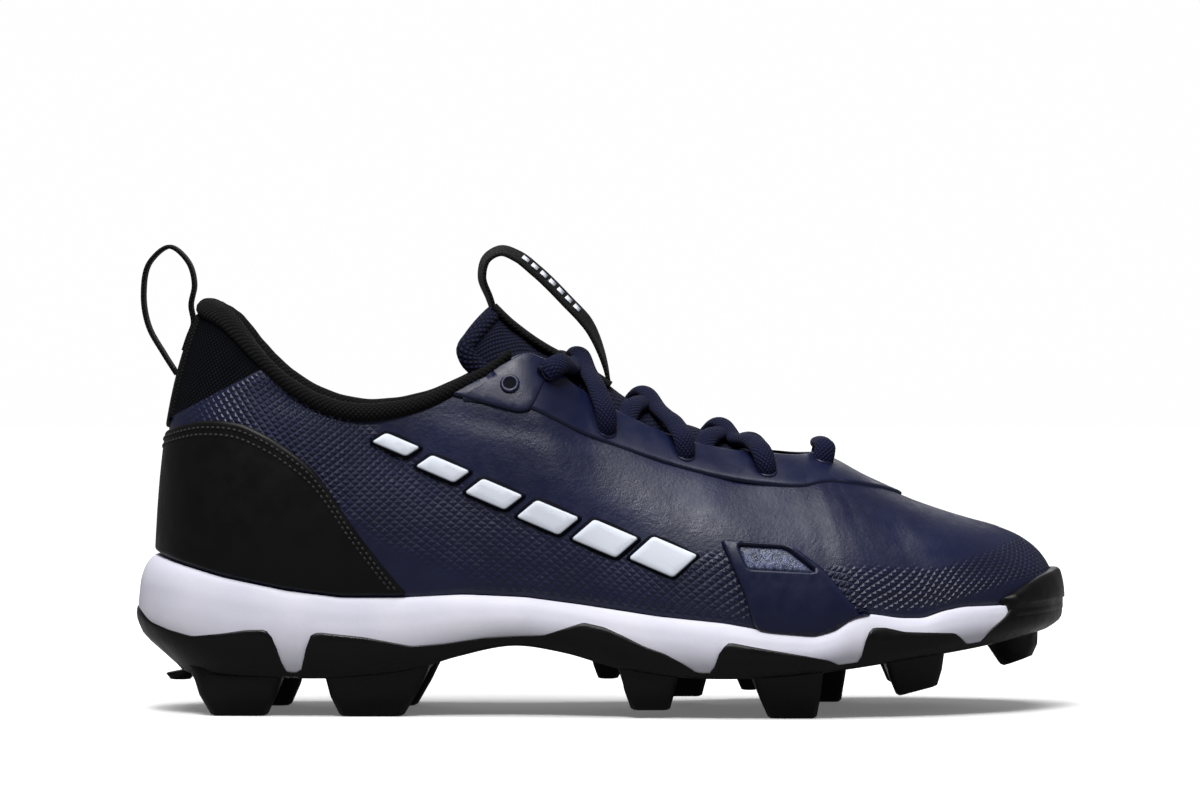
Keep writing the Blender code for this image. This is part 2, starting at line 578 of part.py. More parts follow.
def build_studs(cutters):
    """All the studs in one mesh, tapered blocks with chamfered corners."""
    work = bmesh.new()
    for stud in STUDS:
        x = stud.x * LENGTH
        half_span = stud.span * LENGTH / 2
        half_width = stud.width * BALL_WIDTH / 2
        outer, inner = side_y(x, -1), side_y(x, 1)
        middle = (outer + inner) / 2
        y = middle + stud.side * (inner - outer) / 2
        y -= np.sign(stud.side) * half_width * STUD_INSET
        rings = []
        for top in (0.0, STUD_TIP_RING, 1.0):
            back = half_span + top * stud.back * STUD_HEIGHT
            front = half_span + top * stud.front * STUD_HEIGHT
            swell = 1 + STUD_SWELL * top
            if top == 0:
                back -= STUD_BEVEL
                front -= STUD_BEVEL
                swell -= STUD_TIP_TRIM
            half = half_width * swell
            chamfer = STUD_CHAMFER * half
            corners = (
                (-back, -half + chamfer), (-back + chamfer, -half), (front - chamfer, -half),
                (front, -half + chamfer), (front, half - chamfer), (front - chamfer, half),
                (-back + chamfer, half), (-back, half - chamfer),
            )
            ring = []
            for dx, dy in corners:
                share = (dx + back) / (back + front)
                lift = stud.heel_lift + (stud.toe_lift - stud.heel_lift) * share
                tip = lift * TOE_SPRING
                root = plate_z(x + dx) + PLATE_THICKNESS * 0.3
                ring.append(work.verts.new((x + dx, y + dy, tip + (root - tip) * top)))
            rings.append(ring)
        for low, high in zip(rings, rings[1:]):
            for i in range(len(low)):
                nxt = (i + 1) % len(low)
                work.faces.new((low[i], low[nxt], high[nxt], high[i]))
        work.faces.new(reversed(rings[0]))
        work.faces.new(rings[-1])
    mesh = bpy.data.meshes.new("studs")
    work.to_mesh(mesh)
    work.free()
    studs = bpy.data.objects.new("studs", mesh)
    studs.hide_render = True
    studs.display_type = "WIRE"
    cutters.objects.link(studs)
    return studs


def footbed_z(x):
    """Height of the foam under the foot."""
    depth = along(PLATE_LINE, "foam", x / LENGTH) * FOAM_THICKNESS
    return plate_z(x) + PLATE_THICKNESS + FIT_GAP + depth


def build_midsole(finish, collection):
    """The foam cup between the rubber and the upper, recessed where the rubber covers it."""
    cover = RUBBER_WALL - RUBBER_PROUD + 2 * FIT_GAP
    lip = FIT_GAP / 2

    def step_z(x):
        return min(edge_z(x) + 2 * FIT_GAP, rim_z(x) - RIM_GAP - lip)

    def bottom(rib, side):
        x = station(rib, side)[0]
        return wall_point(rib, side, plate_z(x) + PLATE_THICKNESS + FIT_GAP, cover)

    def covered(rib, side):
        return wall_point(rib, side, step_z(station(rib, side)[0]), cover)

    def shown(share):
        def point(rib, side):
            x = station(rib, side)[0]
            low, high = step_z(x), rim_z(x) - RIM_GAP
            hidden = edge_z(x) > rim_z(x) - RIM_GAP - 2 * FIT_GAP
            return wall_point(rib, side, low + (high - low) * share, cover if hidden else 0.0)
        return point

    def inside(rib, side):
        x = station(rib, side)[0]
        point = wall_point(rib, side, rim_z(x) - RIM_GAP, 0.0)
        foot_x, foot_y, out = station(rib, side)
        return (foot_x - out[0] * RIM_WIDTH, foot_y - out[1] * RIM_WIDTH, point[2])

    def cup(rib, side):
        foot_x, foot_y, out = station(rib, side)
        inset = RIM_WIDTH + FIT_GAP
        return (foot_x - out[0] * inset, foot_y - out[1] * inset, footbed_z(foot_x))

    rings = [sole_ring(bottom), sole_ring(covered)]
    rings += [sole_ring(shown(share)) for share in (0.0, 0.5, 1.0)]
    rings += [sole_ring(inside), sole_ring(cup)]
    return solid_between("midsole", rings, finish, collection)


def build_insole(finish, collection):
    """The flat liner on the footbed."""
    inset = RIM_WIDTH + 3 * FIT_GAP

    def at(lift):
        def point(rib, side):
            foot_x, foot_y, out = station(rib, side)
            z = footbed_z(foot_x) + FIT_GAP + lift
            return (foot_x - out[0] * inset, foot_y - out[1] * inset, z)
        return point

    rings = [sole_ring(at(0.0)), sole_ring(at(INSOLE_THICKNESS))]
    return solid_between("insole", rings, finish, collection)


def build_upper(finish, collection):
    """The hollow upper, one wall open at the collar, at the throat and underneath."""
    def rows_of(rib, side):
        return [upper_point(rib, side, row / ROWS) for row in range(ROWS + 1)]

    mesh = two_sided_mesh("upper", rows_of, UPPER_RIBS)
    upper = link("upper", mesh, finish, collection)
    thicken(upper, UPPER_WALL, outward=False)
    return upper


def build_overlay(name, line, finish, collection, thickness, rows, sides=(-1, 1)):
    """A layer on the upper between two lines drawn on it."""
    first, last = line[0].rib, line[-1].rib
    ribs = [first, *(rib for rib in UPPER_RIBS if first < rib < last), last]

    def rows_of(rib, side):
        low, high = straight(line, "low", rib), straight(line, "high", rib)
        return [
            lifted(rib, side, low + (high - low) * row / rows, OVERLAY_GAP)
            for row in range(rows + 1)
        ]

    if len(sides) == 2:
        mesh = two_sided_mesh(name, rows_of, ribs)
    else:
        mesh = grid_mesh(name, [rows_of(rib, sides[0]) for rib in ribs], flip=sides[0] > 0)
    piece = link(name, mesh, finish, collection)
    thicken(piece, thickness, outward=True)
    return piece


def body_through(name, rings, finish, collection):
    """A closed body through rings of as many points each, with flat ends."""
    work = bmesh.new()
    verts = [[work.verts.new(point) for point in ring] for ring in rings]
    count = len(verts[0])
    for low, high in zip(verts, verts[1:]):
        for i in range(count):
            nxt = (i + 1) % count
            work.faces.new((low[i], low[nxt], high[nxt], high[i]))
    work.faces.new(reversed(verts[0]))
    work.faces.new(verts[-1])
    bmesh.ops.recalc_face_normals(work, faces=work.faces)
    mesh = bpy.data.meshes.new(name)
    work.to_mesh(mesh)
    work.free()
    return link(name, mesh, finish, collection)


def build_collar(finish, collection):
    """The padded roll on the upper's top edge, round the heel from throat to throat."""
    def ring(rib, side):
        crest = upper_point(rib, side, 1)
        out = np.array((*station(rib, side)[2], 0.0))
        size = COLLAR_PADDING * np.interp(rib, (5.5, COLLAR_END), (1.0, 0.6))
        rows = []
        for row in COLLAR_SECTION:
            reach = row.out * size - row.wall * (UPPER_WALL + 2 * FIT_GAP)
            rows.append(crest + out * reach + np.array((0.0, 0.0, row.up * size)))
        return rows

    ribs = [rib for rib in UPPER_RIBS if rib < COLLAR_END - 0.2] + [COLLAR_END]
    rings = [ring(rib, -1) for rib in reversed(ribs)] + [ring(rib, 1) for rib in ribs[1:]]
    return body_through("collar", rings, finish, collection)


def tongue_point(row_place, angle, sink):
    """A point of the tongue: row_place along its length, angle across its arch."""
    x = along(TONGUE_LINE, "x", row_place) * LENGTH
    z = STUD_HEIGHT + along(TONGUE_LINE, "z", row_place) * INSTEP_HEIGHT
    half = along(TONGUE_LINE, "width", row_place) * TONGUE_WIDTH / 2 - sink
    drop = along(TONGUE_LINE, "drop", row_place) * TONGUE_WIDTH / 2 - sink
    setback = along(TONGUE_LINE, "setback", row_place) * TONGUE_WIDTH
    y = TONGUE_SHIFT + half * math.sin(angle)
    return np.array((
        x - setback * math.sin(angle) ** 2, y, z - sink - drop * (1 - math.cos(angle)),
    ))


def build_tongue(finish, collection):
    """The padded tongue, an arch that rises from under the vamp and stands over the throat."""
    across = 8
    reach = math.radians(TONGUE_REACH)
    rings = []
    for row in range(len(TONGUE_LINE)):
        angles = [reach * (2 * k / across - 1) for k in range(across + 1)]
        top = [tongue_point(row, angle, 0.0) for angle in angles]
        under = [tongue_point(row, angle, TONGUE_THICKNESS) for angle in reversed(angles)]
        rings.append(top + under)
    return body_through("tongue", rings, finish, collection)


def smooth_path(points, count):
    """Even samples of a smooth curve through a few points."""
    points = np.array(points, dtype=float)
    knots = np.concatenate(([0.0], np.cumsum(np.linalg.norm(np.diff(points, axis=0), axis=1))))
    slopes = np.gradient(points, knots, axis=0)
    path = []
    for place in np.linspace(0, knots[-1], count):
        k = min(int(np.searchsorted(knots, place, side="right")) - 1, len(points) - 2)
        step = knots[k + 1] - knots[k]
        t = (place - knots[k]) / step
        path.append(
            points[k] * (1 + 2 * t) * (1 - t) ** 2 + slopes[k] * step * t * (1 - t) ** 2
            + points[k + 1] * t * t * (3 - 2 * t) + slopes[k + 1] * step * t * t * (t - 1)
        )
    return path


def build_strap(name, points, turns, width, finish, collection, count=20):
    """A flat strap along a path in the shoe's middle plane, turned about its own line."""
    path = smooth_path(points, count)
    rings = []
    for k, point in enumerate(path):
        run = path[min(k + 1, count - 1)] - path[max(k - 1, 0)]
        run /= np.linalg.norm(run)
        turn = math.radians(float(np.interp(k / (count - 1), *zip(*turns))))
        flat = np.array((0.0, 1.0, 0.0))
        thick = np.cross(run, flat)
        across = flat * math.cos(turn) + thick * math.sin(turn)
        normal = np.cross(run, across)
        half, side = normal * STRAP_THICKNESS / 2, across * width / 2
        rings.append([point - side - half, point + side - half, point + side + half,
                      point - side + half])
    return body_through(name, rings, finish, collection)


def strap_seat(v):
    """Middle of a strap that lies on the back of the heel, at a place up the rib."""
    return lifted(0.0, -1, v, OVERLAY_GAP + STRAP_THICKNESS / 2)


def build_heel_loop(finish, collection):
    """The strip up the back of the heel, which stands over the collar as a pull loop."""
    seat = [strap_seat(v) for v in (0.56, 0.66, 0.76, 0.86, 0.94)]
    top = STUD_HEIGHT + HEEL_HEIGHT
    loop = [(row.x * LENGTH, 0.0, top + row.up * LOOP_HEIGHT) for row in HEEL_LOOP]
    path = [(point[0], 0.0, point[2]) for point in seat] + loop
    return build_strap("heel_loop", path, ((0, 0), (1, 0)), STRAP_WIDTH, finish, collection, 26)


def build_tongue_loop(finish, collection):
    """The pull loop on the tongue, sewn to it in front and at its tip."""
    top = tongue_point(len(TONGUE_LINE) - 1, 0.0, 0.0)
    base = np.array((top[0], TONGUE_SHIFT, top[2]))
    path = [base + np.array((row.x, 0.0, row.up)) * LOOP_HEIGHT for row in TONGUE_LOOP]
    return build_strap("tongue_loop", path, TONGUE_LOOP_TURNS, STRAP_WIDTH * 0.75, finish,
                       collection, 22)


def cut_eyelets(pieces, cutters):
    """Punch the lace holes through the upper and the eyestay."""
    work = bmesh.new()
    for side in (-1, 1):
        for eyelet in EYELETS:
            point = upper_point(eyelet.rib, side, eyelet.v)
            normal = upper_normal(eyelet.rib, side, eyelet.v)
            made = bmesh.ops.create_cone(
                work, cap_ends=True, segments=6, radius1=EYELET_DIAMETER / 2,
                radius2=EYELET_DIAMETER / 2, depth=6 * UPPER_WALL,
            )
            turn = Vector((0, 0, 1)).rotation_difference(Vector(normal)).to_matrix().to_4x4()
            place = Matrix.Translation(Vector(point)) @ turn
            bmesh.ops.transform(work, matrix=place, verts=made["verts"])
    mesh = bpy.data.meshes.new("eyelet_punch")
    work.to_mesh(mesh)
    work.free()
    punch = bpy.data.objects.new("eyelet_punch", mesh)
    punch.hide_render = True
    punch.display_type = "WIRE"
    cutters.objects.link(punch)
    for piece in pieces:
        cut = piece.modifiers.new("Eyelets", "BOOLEAN")
        cut.operation = "DIFFERENCE"
        cut.solver = "EXACT"
        cut.object = punch


def tongue_top(x, y):
    """Height of the tongue's face over a point in plan."""
    places = [tongue_point(row, 0.0, 0.0)[0] for row in range(len(TONGUE_LINE))]
    row = float(np.interp(-x, [-place for place in places], range(len(places))))
    half = along(TONGUE_LINE, "width", row) * TONGUE_WIDTH / 2
    angle = math.asin(min(max((y - TONGUE_SHIFT) / half, -0.95), 0.95))
    return tongue_point(row, angle, 0.0)[2]


def lace_arm(start, end, side, over, reaches):
    """Points of a lace from its eyelet over the throat to the far edge, lying on what it meets."""
    radius = LACE_DIAMETER / 2
    rest = OVERLAY_GAP + OVERLAY_THICKNESS + FIT_GAP + radius
    first = lifted(start.rib, side, start.v, rest)
    edge = lifted(start.rib - 0.15, side, 0.975, rest)
    far = lifted(end.rib + 0.15, -side, 0.975, rest)
    points = [first, edge]
    for share in (0.3, 0.5, 0.7) if reaches else (0.35, 0.6, 0.82):
        x = edge[0] + (far[0] - edge[0]) * share
        y = edge[1] + (far[1] - edge[1]) * share
        lift = radius + 5 * FIT_GAP + (radius * 0.9 if over else 0.0) * (1 - abs(2 * share - 1.1))
        points.append(np.array((x, y, tongue_top(x, y) + lift)))
    if reaches:
        points += [far, lifted(end.rib, -side, end.v, rest)]
    return points


def tube_object(name, points, radius, finish, collection):
    """A round tube through points, as a closed mesh."""
    curve = bpy.data.curves.new(name, "CURVE")
    curve.dimensions = "3D"
    curve.bevel_depth = radius
    curve.bevel_resolution = 1
    curve.use_fill_caps = True
    spline = curve.splines.new("POLY")
    spline.points.add(len(points) - 1)
    for place, point in zip(spline.points, points):
        place.co = (*point, 1.0)
    carrier = bpy.data.objects.new(name + "_line", curve)
    collection.objects.link(carrier)
    bpy.context.view_layer.update()
    graph = bpy.context.evaluated_depsgraph_get()
    mesh = bpy.data.meshes.new_from_object(carrier.evaluated_get(graph))
    bpy.data.objects.remove(carrier)
    work = bmesh.new()
    work.from_mesh(mesh)
    bmesh.ops.remove_doubles(work, verts=work.verts, dist=MERGE_DISTANCE / 2)
    work.to_mesh(mesh)
    work.free()
    return link(name, mesh, finish, collection)


def build_laces(finish, collection, cutters):
    """A bar at the front eyelets and three crossings up the throat, each one solid."""
    radius = LACE_DIAMETER / 2
    front = EYELETS[0]
    rest = OVERLAY_GAP + OVERLAY_THICKNESS + FIT_GAP + radius
    ends = [lifted(front.rib, side, front.v, rest) for side in (-1, 1)]
    inner = [lifted(front.rib - 0.1, side, 0.975, rest) for side in (-1, 1)]
    points = smooth_path([ends[0], inner[0], inner[1], ends[1]], 8)
    tube_object("lace_bar", points, radius, finish, collection)
    for k in (1, 2, 3):
        start, end = EYELETS[k], EYELETS[k + 1]
        first = smooth_path(lace_arm(start, end, -1, True, k == 3), 11)
        second = smooth_path(lace_arm(start, end, 1, False, k == 3), 11)
        crossing = tube_object(f"lace_crossing_{k}", first, radius, finish, collection)
        other = tube_object(f"lace_under_{k}", second, radius, finish, cutters)
        other.hide_render = True
        other.display_type = "WIRE"
        union = crossing.modifiers.new("Crossing", "BOOLEAN")
        union.operation = "UNION"
        union.solver = "EXACT"
        union.object = other


def centre_on_floor(pieces, others):
    """Move everything so that the origin is under the middle of the shoe, on the floor."""
    bpy.context.view_layer.update()
    graph = bpy.context.evaluated_depsgraph_get()
    corners = [
        piece.matrix_world @ Vector(corner)
        for piece in pieces for corner in piece.evaluated_get(graph).bound_box
    ]
    low = [min(corner[axis] for corner in corners) for axis in range(3)]
    high = [max(corner[axis] for corner in corners) for axis in range(3)]
    for piece in (*pieces, *others):
        piece.location.x -= (low[0] + high[0]) / 2
        piece.location.y -= (low[1] + high[1]) / 2
        piece.location.z -= low[2]


def main():
    """Model every piece of the shoe."""
    for old in list(bpy.data.objects):
        bpy.data.objects.remove(old)
    shoe = bpy.data.collections.new("baseball_cleat")
    cutters = bpy.data.collections.new("cutters")
    bpy.context.scene.collection.children.link(shoe)
    bpy.context.scene.collection.children.link(cutters)
    rubber = material("black_rubber", (0.012, 0.012, 0.013), 0.35)
    foam = material("white_foam", (0.80, 0.80, 0.83), 0.55)
    navy = material("navy_synthetic", (0.011, 0.018, 0.058), 0.40)
    black = material("black_synthetic", (0.010, 0.010, 0.012), 0.45)
    knit = material("black_knit", (0.012, 0.012, 0.014), 0.85)
    lace = material("navy_lace", (0.012, 0.018, 0.050), 0.80)
    lining = material("lining", (0.014, 0.016, 0.028), 0.90)
    build_outsole(rubber, shoe, cutters)
    build_midsole(foam, shoe)
    build_insole(lining, shoe)
    upper = build_upper(navy, shoe)
    build_overlay("heel_counter", COUNTER_LINE, black, shoe, OVERLAY_THICKNESS, 5)
    eyestay = build_overlay("eyestay", EYESTAY_LINE, navy, shoe, OVERLAY_THICKNESS, 2)
    build_overlay("side_panel", SIDE_PANEL_LINE, navy, shoe, OVERLAY_THICKNESS, 4, (-1,))
    build_overlay("toe_bumper", TOE_BUMPER_LINE, rubber, shoe, BUMPER_THICKNESS, 3)
    cut_eyelets((upper, eyestay), cutters)
    build_collar(knit, shoe)
    build_tongue(knit, shoe)
    build_heel_loop(black, shoe)
    build_tongue_loop(black, shoe)
    build_laces(lace, shoe, cutters)
    centre_on_floor(list(shoe.objects), list(cutters.objects))


main()
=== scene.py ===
"""Looks of a right baseball cleat: fine meshes, finishes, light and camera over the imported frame."""

import math
from collections import namedtuple
from functools import lru_cache

import bmesh
import bpy
import numpy as np
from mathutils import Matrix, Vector, geometry
from mathutils.bvhtree import BVHTree


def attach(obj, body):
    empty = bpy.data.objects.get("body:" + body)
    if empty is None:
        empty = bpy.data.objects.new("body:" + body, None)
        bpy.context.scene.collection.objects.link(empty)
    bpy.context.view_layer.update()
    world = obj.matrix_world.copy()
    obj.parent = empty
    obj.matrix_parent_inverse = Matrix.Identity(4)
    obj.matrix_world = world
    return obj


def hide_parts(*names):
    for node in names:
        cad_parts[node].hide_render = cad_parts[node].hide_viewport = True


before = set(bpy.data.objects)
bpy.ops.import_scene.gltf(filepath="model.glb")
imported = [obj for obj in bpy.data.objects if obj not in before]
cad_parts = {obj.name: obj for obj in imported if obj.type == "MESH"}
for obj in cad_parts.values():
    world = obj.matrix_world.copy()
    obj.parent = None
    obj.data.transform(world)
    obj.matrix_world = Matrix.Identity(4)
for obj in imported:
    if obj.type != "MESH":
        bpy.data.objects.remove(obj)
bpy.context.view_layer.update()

# The shoe's own lines are measured from the heel; this moves them into the row's frame.
SHIFT = np.array((-0.142835, -0.0016068, 0.0))

# Metres that one pixel of the photo covers at the near side of the shoe, the pixel of the
# heel's back and the pixel row of the floor.
PIXEL = 0.00030159
HEEL_PIXEL = 128
FLOOR_PIXEL = 718

# Lengths and widths. Widths are measured at the feather line.
LENGTH = 0.285
HEEL_WIDTH = 0.068
WAIST_WIDTH = 0.066
BALL_WIDTH = 0.095

# Heights of the upper's top edge, measured up from the underside of the plate.
HEEL_HEIGHT = 0.1095
ANKLE_HEIGHT = 0.0783
INSTEP_HEIGHT = 0.0976
THROAT_HEIGHT = 0.0656
TOE_HEIGHT = 0.0443

# The sole: studs, plate and foam.
STUD_HEIGHT = 0.012
PLATE_THICKNESS = 0.002
RIM_HEIGHT = 0.0362
ARCH_RISE = 0.0098
TOE_SPRING = 0.0125
HEEL_FLARE = 0.0063
SIDE_FLARE = 0.0036
TOE_FLARE = 0.0015
RUBBER_WALL = 0.0018
RUBBER_PROUD = 0.0006
RIM_WIDTH = 0.0034
FOAM_THICKNESS = 0.0105

# The upper and what is sewn to it.
UPPER_WALL = 0.0022
FIT_GAP = 0.0003
RIM_GAP = 0.0008

WIDTH_OF = {"heel": HEEL_WIDTH, "waist": WAIST_WIDTH, "ball": BALL_WIDTH}
HEIGHT_OF = {
    "heel": HEEL_HEIGHT,
    "ankle": ANKLE_HEIGHT,
    "instep": INSTEP_HEIGHT,
    "throat": THROAT_HEIGHT,
    "toe": TOE_HEIGHT,
}

# Ribs from heel to toe. foot_x and crest_x are shares of the length. The other plan sizes
# are shares of the zone's width, crest_z of the level's height, rise and drop of the rib's
# own height. lean and rise place the rib's first handle, shoulder and drop its second.
Rib = namedtuple(
    "Rib",
    "zone foot_x lateral medial level crest_x crest_lateral crest_medial crest_z"
    " lean rise shoulder drop",
)
RIBS = (
    Rib("heel", 0.0242, 0.000, 0.000, "heel", 0.070, 0.000, 0.000, 1.000, -0.018, 0.325, 0.150, 0.32),
    Rib("heel", 0.0300, 0.176, 0.176, "heel", 0.075, 0.132, 0.132, 0.994, -0.015, 0.325, 0.143, 0.32),
    Rib("heel", 0.0510, 0.331, 0.331, "heel", 0.098, 0.262, 0.257, 0.962, 0.000, 0.320, 0.120, 0.32),
    Rib("heel", 0.0920, 0.449, 0.441, "heel", 0.132, 0.375, 0.360, 0.874, 0.022, 0.320, 0.096, 0.32),
    Rib("heel", 0.1470, 0.500, 0.485, "ankle", 0.173, 0.441, 0.419, 1.092, 0.037, 0.320, 0.081, 0.32),
    Rib("heel", 0.2280, 0.515, 0.485, "ankle", 0.234, 0.478, 0.456, 1.000, 0.044, 0.330, 0.059, 0.32),
    Rib("waist", 0.316, 0.538, 0.462, "ankle", 0.304, 0.485, 0.470, 1.027, 0.045, 0.330, 0.068, 0.30),
    Rib("waist", 0.404, 0.561, 0.432, "instep", 0.374, 0.432, 0.439, 0.922, 0.045, 0.350, 0.121, 0.28),
    Rib("waist", 0.470, 0.598, 0.455, "instep", 0.428, 0.356, 0.394, 1.000, 0.045, 0.360, 0.182, 0.24),
    Rib("waist", 0.519, 0.629, 0.485, "instep", 0.481, 0.280, 0.333, 0.886, 0.045, 0.360, 0.212, 0.20),
    Rib("ball", 0.582, 0.468, 0.395, "throat", 0.554, 0.168, 0.216, 1.149, 0.032, 0.380, 0.179, 0.16),
    Rib("ball", 0.660, 0.489, 0.468, "throat", 0.628, 0.142, 0.195, 1.050, 0.032, 0.400, 0.200, 0.13),
    Rib("ball", 0.730, 0.479, 0.511, "throat", 0.702, 0.100, 0.160, 1.015, 0.030, 0.400, 0.210, 0.10),
    Rib("ball", 0.793, 0.442, 0.521, "throat", 0.741, -0.026, 0.026, 1.000, 0.026, 0.420, 0.253, 0.02),
    Rib("ball", 0.853, 0.384, 0.500, "throat", 0.786, -0.037, 0.037, 0.899, 0.022, 0.430, 0.242, 0.00),
    Rib("ball", 0.902, 0.305, 0.458, "toe", 0.828, -0.047, 0.047, 1.212, 0.016, 0.440, 0.210, 0.10),
    Rib("ball", 0.940, 0.211, 0.400, "toe", 0.867, -0.058, 0.058, 1.120, 0.009, 0.450, 0.168, 0.16),
    Rib("ball", 0.968, 0.105, 0.326, "toe", 0.896, -0.068, 0.068, 1.061, 0.004, 0.480, 0.137, 0.17),
    Rib("ball", 0.986, -0.011, 0.226, "toe", 0.918, -0.079, 0.079, 1.020, 0.000, 0.520, 0.124, 0.17),
    Rib("ball", 0.9925, -0.105, 0.105, "toe", 0.926, -0.089, 0.089, 1.000, 0.000, 0.550, 0.120, 0.16),
)
LAST_RIB = len(RIBS) - 1
THROAT_RIB = 13

# Height of the midsole's top edge over the plate's datum, as shares of RIM_HEIGHT.
RimRow = namedtuple("RimRow", "x height")
RIM_LINE = (
    RimRow(0.024, 1.000), RimRow(0.055, 0.930), RimRow(0.100, 0.835), RimRow(0.165, 0.732),
    RimRow(0.225, 0.672), RimRow(0.285, 0.672), RimRow(0.355, 0.700), RimRow(0.420, 0.680),
    RimRow(0.480, 0.620), RimRow(0.560, 0.528), RimRow(0.630, 0.474), RimRow(0.680, 0.405),
    RimRow(0.725, 0.374), RimRow(0.746, 0.420), RimRow(0.764, 0.520), RimRow(0.784, 0.550),
    RimRow(0.815, 0.510), RimRow(0.842, 0.505), RimRow(0.862, 0.560), RimRow(0.885, 0.592),
    RimRow(0.930, 0.592), RimRow(0.992, 0.605),
)

# Underside of the plate: how much of the arch's rise and of the toe's spring it has. foam is
# the depth of foam over the plate under the foot, in shares of FOAM_THICKNESS.
PlateRow = namedtuple("PlateRow", "x arch spring foam")
PLATE_LINE = (
    PlateRow(0.000, 0.10, 0.00, 1.90), PlateRow(0.060, 0.03, 0.00, 1.85),
    PlateRow(0.120, 0.00, 0.00, 1.80), PlateRow(0.240, 0.00, 0.00, 1.60),
    PlateRow(0.300, 0.22, 0.00, 1.35), PlateRow(0.350, 0.65, 0.00, 1.00),
    PlateRow(0.410, 0.98, 0.00, 0.80), PlateRow(0.460, 0.78, 0.00, 0.88),
    PlateRow(0.520, 0.30, 0.00, 0.98), PlateRow(0.580, 0.06, 0.00, 0.98),
    PlateRow(0.660, 0.00, 0.02, 0.90), PlateRow(0.750, 0.00, 0.20, 0.76),
    PlateRow(0.830, 0.00, 0.46, 0.76), PlateRow(0.900, 0.00, 0.68, 0.70),
    PlateRow(0.960, 0.00, 0.88, 0.60), PlateRow(1.000, 0.00, 1.00, 0.50),
)

# How far the sole's side wall stands out from the feather line, in shares of the flare of
# the heel, of the side and of the toe. h is 0 at the plate's underside and 1 at the rim.
WallRow = namedtuple("WallRow", "h heel side toe")
WALL_LINE = (
    WallRow(0.00, -1.45, -0.45, -2.60), WallRow(0.15, -0.40, 0.40, -1.00),
    WallRow(0.30, 0.62, 0.85, 0.35), WallRow(0.45, 0.98, 1.00, 0.90),
    WallRow(0.60, 0.96, 0.98, 1.00), WallRow(0.80, 0.84, 0.75, 1.00),
    WallRow(0.93, 0.56, 0.45, 1.00), WallRow(1.00, 0.13, 0.22, 1.00),
)

# Top edge of the black rubber on the sole's side, in shares of RIM_HEIGHT over the datum.
# It rises as a pad over each stud, and the foam shows down to the plate between the pads.
EdgeRow = namedtuple("EdgeRow", "x height")
EDGE_LINE = (
    EdgeRow(0.0242, 0.575), EdgeRow(0.035, 0.450), EdgeRow(0.052, 0.390), EdgeRow(0.073, 0.345),
    EdgeRow(0.102, 0.376), EdgeRow(0.125, 0.408), EdgeRow(0.146, 0.412), EdgeRow(0.154, 0.340),
    EdgeRow(0.166, 0.045), EdgeRow(0.184, 0.045), EdgeRow(0.190, 0.350), EdgeRow(0.200, 0.392),
    EdgeRow(0.250, 0.350), EdgeRow(0.300, 0.274), EdgeRow(0.334, 0.293), EdgeRow(0.377, 0.343),
    EdgeRow(0.440, 0.367), EdgeRow(0.461, 0.425), EdgeRow(0.482, 0.480), EdgeRow(0.504, 0.442),
    EdgeRow(0.525, 0.367), EdgeRow(0.546, 0.285), EdgeRow(0.567, 0.227), EdgeRow(0.588, 0.135),
    EdgeRow(0.604, 0.047), EdgeRow(0.618, 0.047), EdgeRow(0.623, 0.220), EdgeRow(0.634, 0.326),
    EdgeRow(0.673, 0.268), EdgeRow(0.715, 0.210), EdgeRow(0.740, 0.170), EdgeRow(0.758, 0.100),
    EdgeRow(0.773, 0.100), EdgeRow(0.778, 0.330), EdgeRow(0.785, 0.440), EdgeRow(0.800, 0.440),
    EdgeRow(0.821, 0.400), EdgeRow(0.874, 0.380), EdgeRow(0.888, 0.270), EdgeRow(0.901, 0.270),
    EdgeRow(0.909, 0.400), EdgeRow(0.925, 0.500), EdgeRow(0.938, 0.610), EdgeRow(0.960, 0.640),
    EdgeRow(0.992, 0.650),
)

# Studs under the plate. x and span are shares of the length at the stud's tip; side is the
# place across the sole, -1 on the outer edge and +1 on the inner one; width is a share of
# BALL_WIDTH. back and front are how far the stud's faces spread from tip to plate, in stud
# heights. heel_lift and toe_lift raise the tip's two ends, in shares of TOE_SPRING.
Stud = namedtuple("Stud", "x span side width back front heel_lift toe_lift")
STUDS = (
    Stud(0.1160, 0.060, -0.76, 0.140, 0.60, 0.42, 0.00, 0.00),
    Stud(0.1340, 0.060, 0.76, 0.140, 0.60, 0.42, 0.00, 0.00),
    Stud(0.2570, 0.068, -0.76, 0.140, 0.45, 0.75, 0.00, 0.00),
    Stud(0.2670, 0.068, 0.76, 0.140, 0.45, 0.75, 0.00, 0.00),
    Stud(0.0480, 0.022, 0.00, 0.085, 0.20, 0.20, 0.75, 0.75),
    Stud(0.5080, 0.022, 0.00, 0.110, 0.20, 0.20, 0.80, 0.80),
    Stud(0.5530, 0.042, -0.80, 0.115, 0.35, 0.20, 0.19, 0.19),
    Stud(0.5900, 0.042, 0.80, 0.115, 0.35, 0.20, 0.19, 0.19),
    Stud(0.6600, 0.018, 0.00, 0.100, 0.20, 0.20, 0.50, 0.50),
    Stud(0.7030, 0.052, -0.80, 0.115, 0.45, 0.18, 0.00, 0.00),
    Stud(0.7380, 0.052, 0.80, 0.115, 0.45, 0.18, 0.00, 0.00),
    Stud(0.8360, 0.044, -0.76, 0.110, 0.35, 0.20, 0.50, 0.72),
    Stud(0.8360, 0.044, 0.76, 0.110, 0.35, 0.20, 0.50, 0.72),
    Stud(0.9490, 0.034, 0.10, 0.170, 0.45, 0.25, 1.06, 1.28),
)

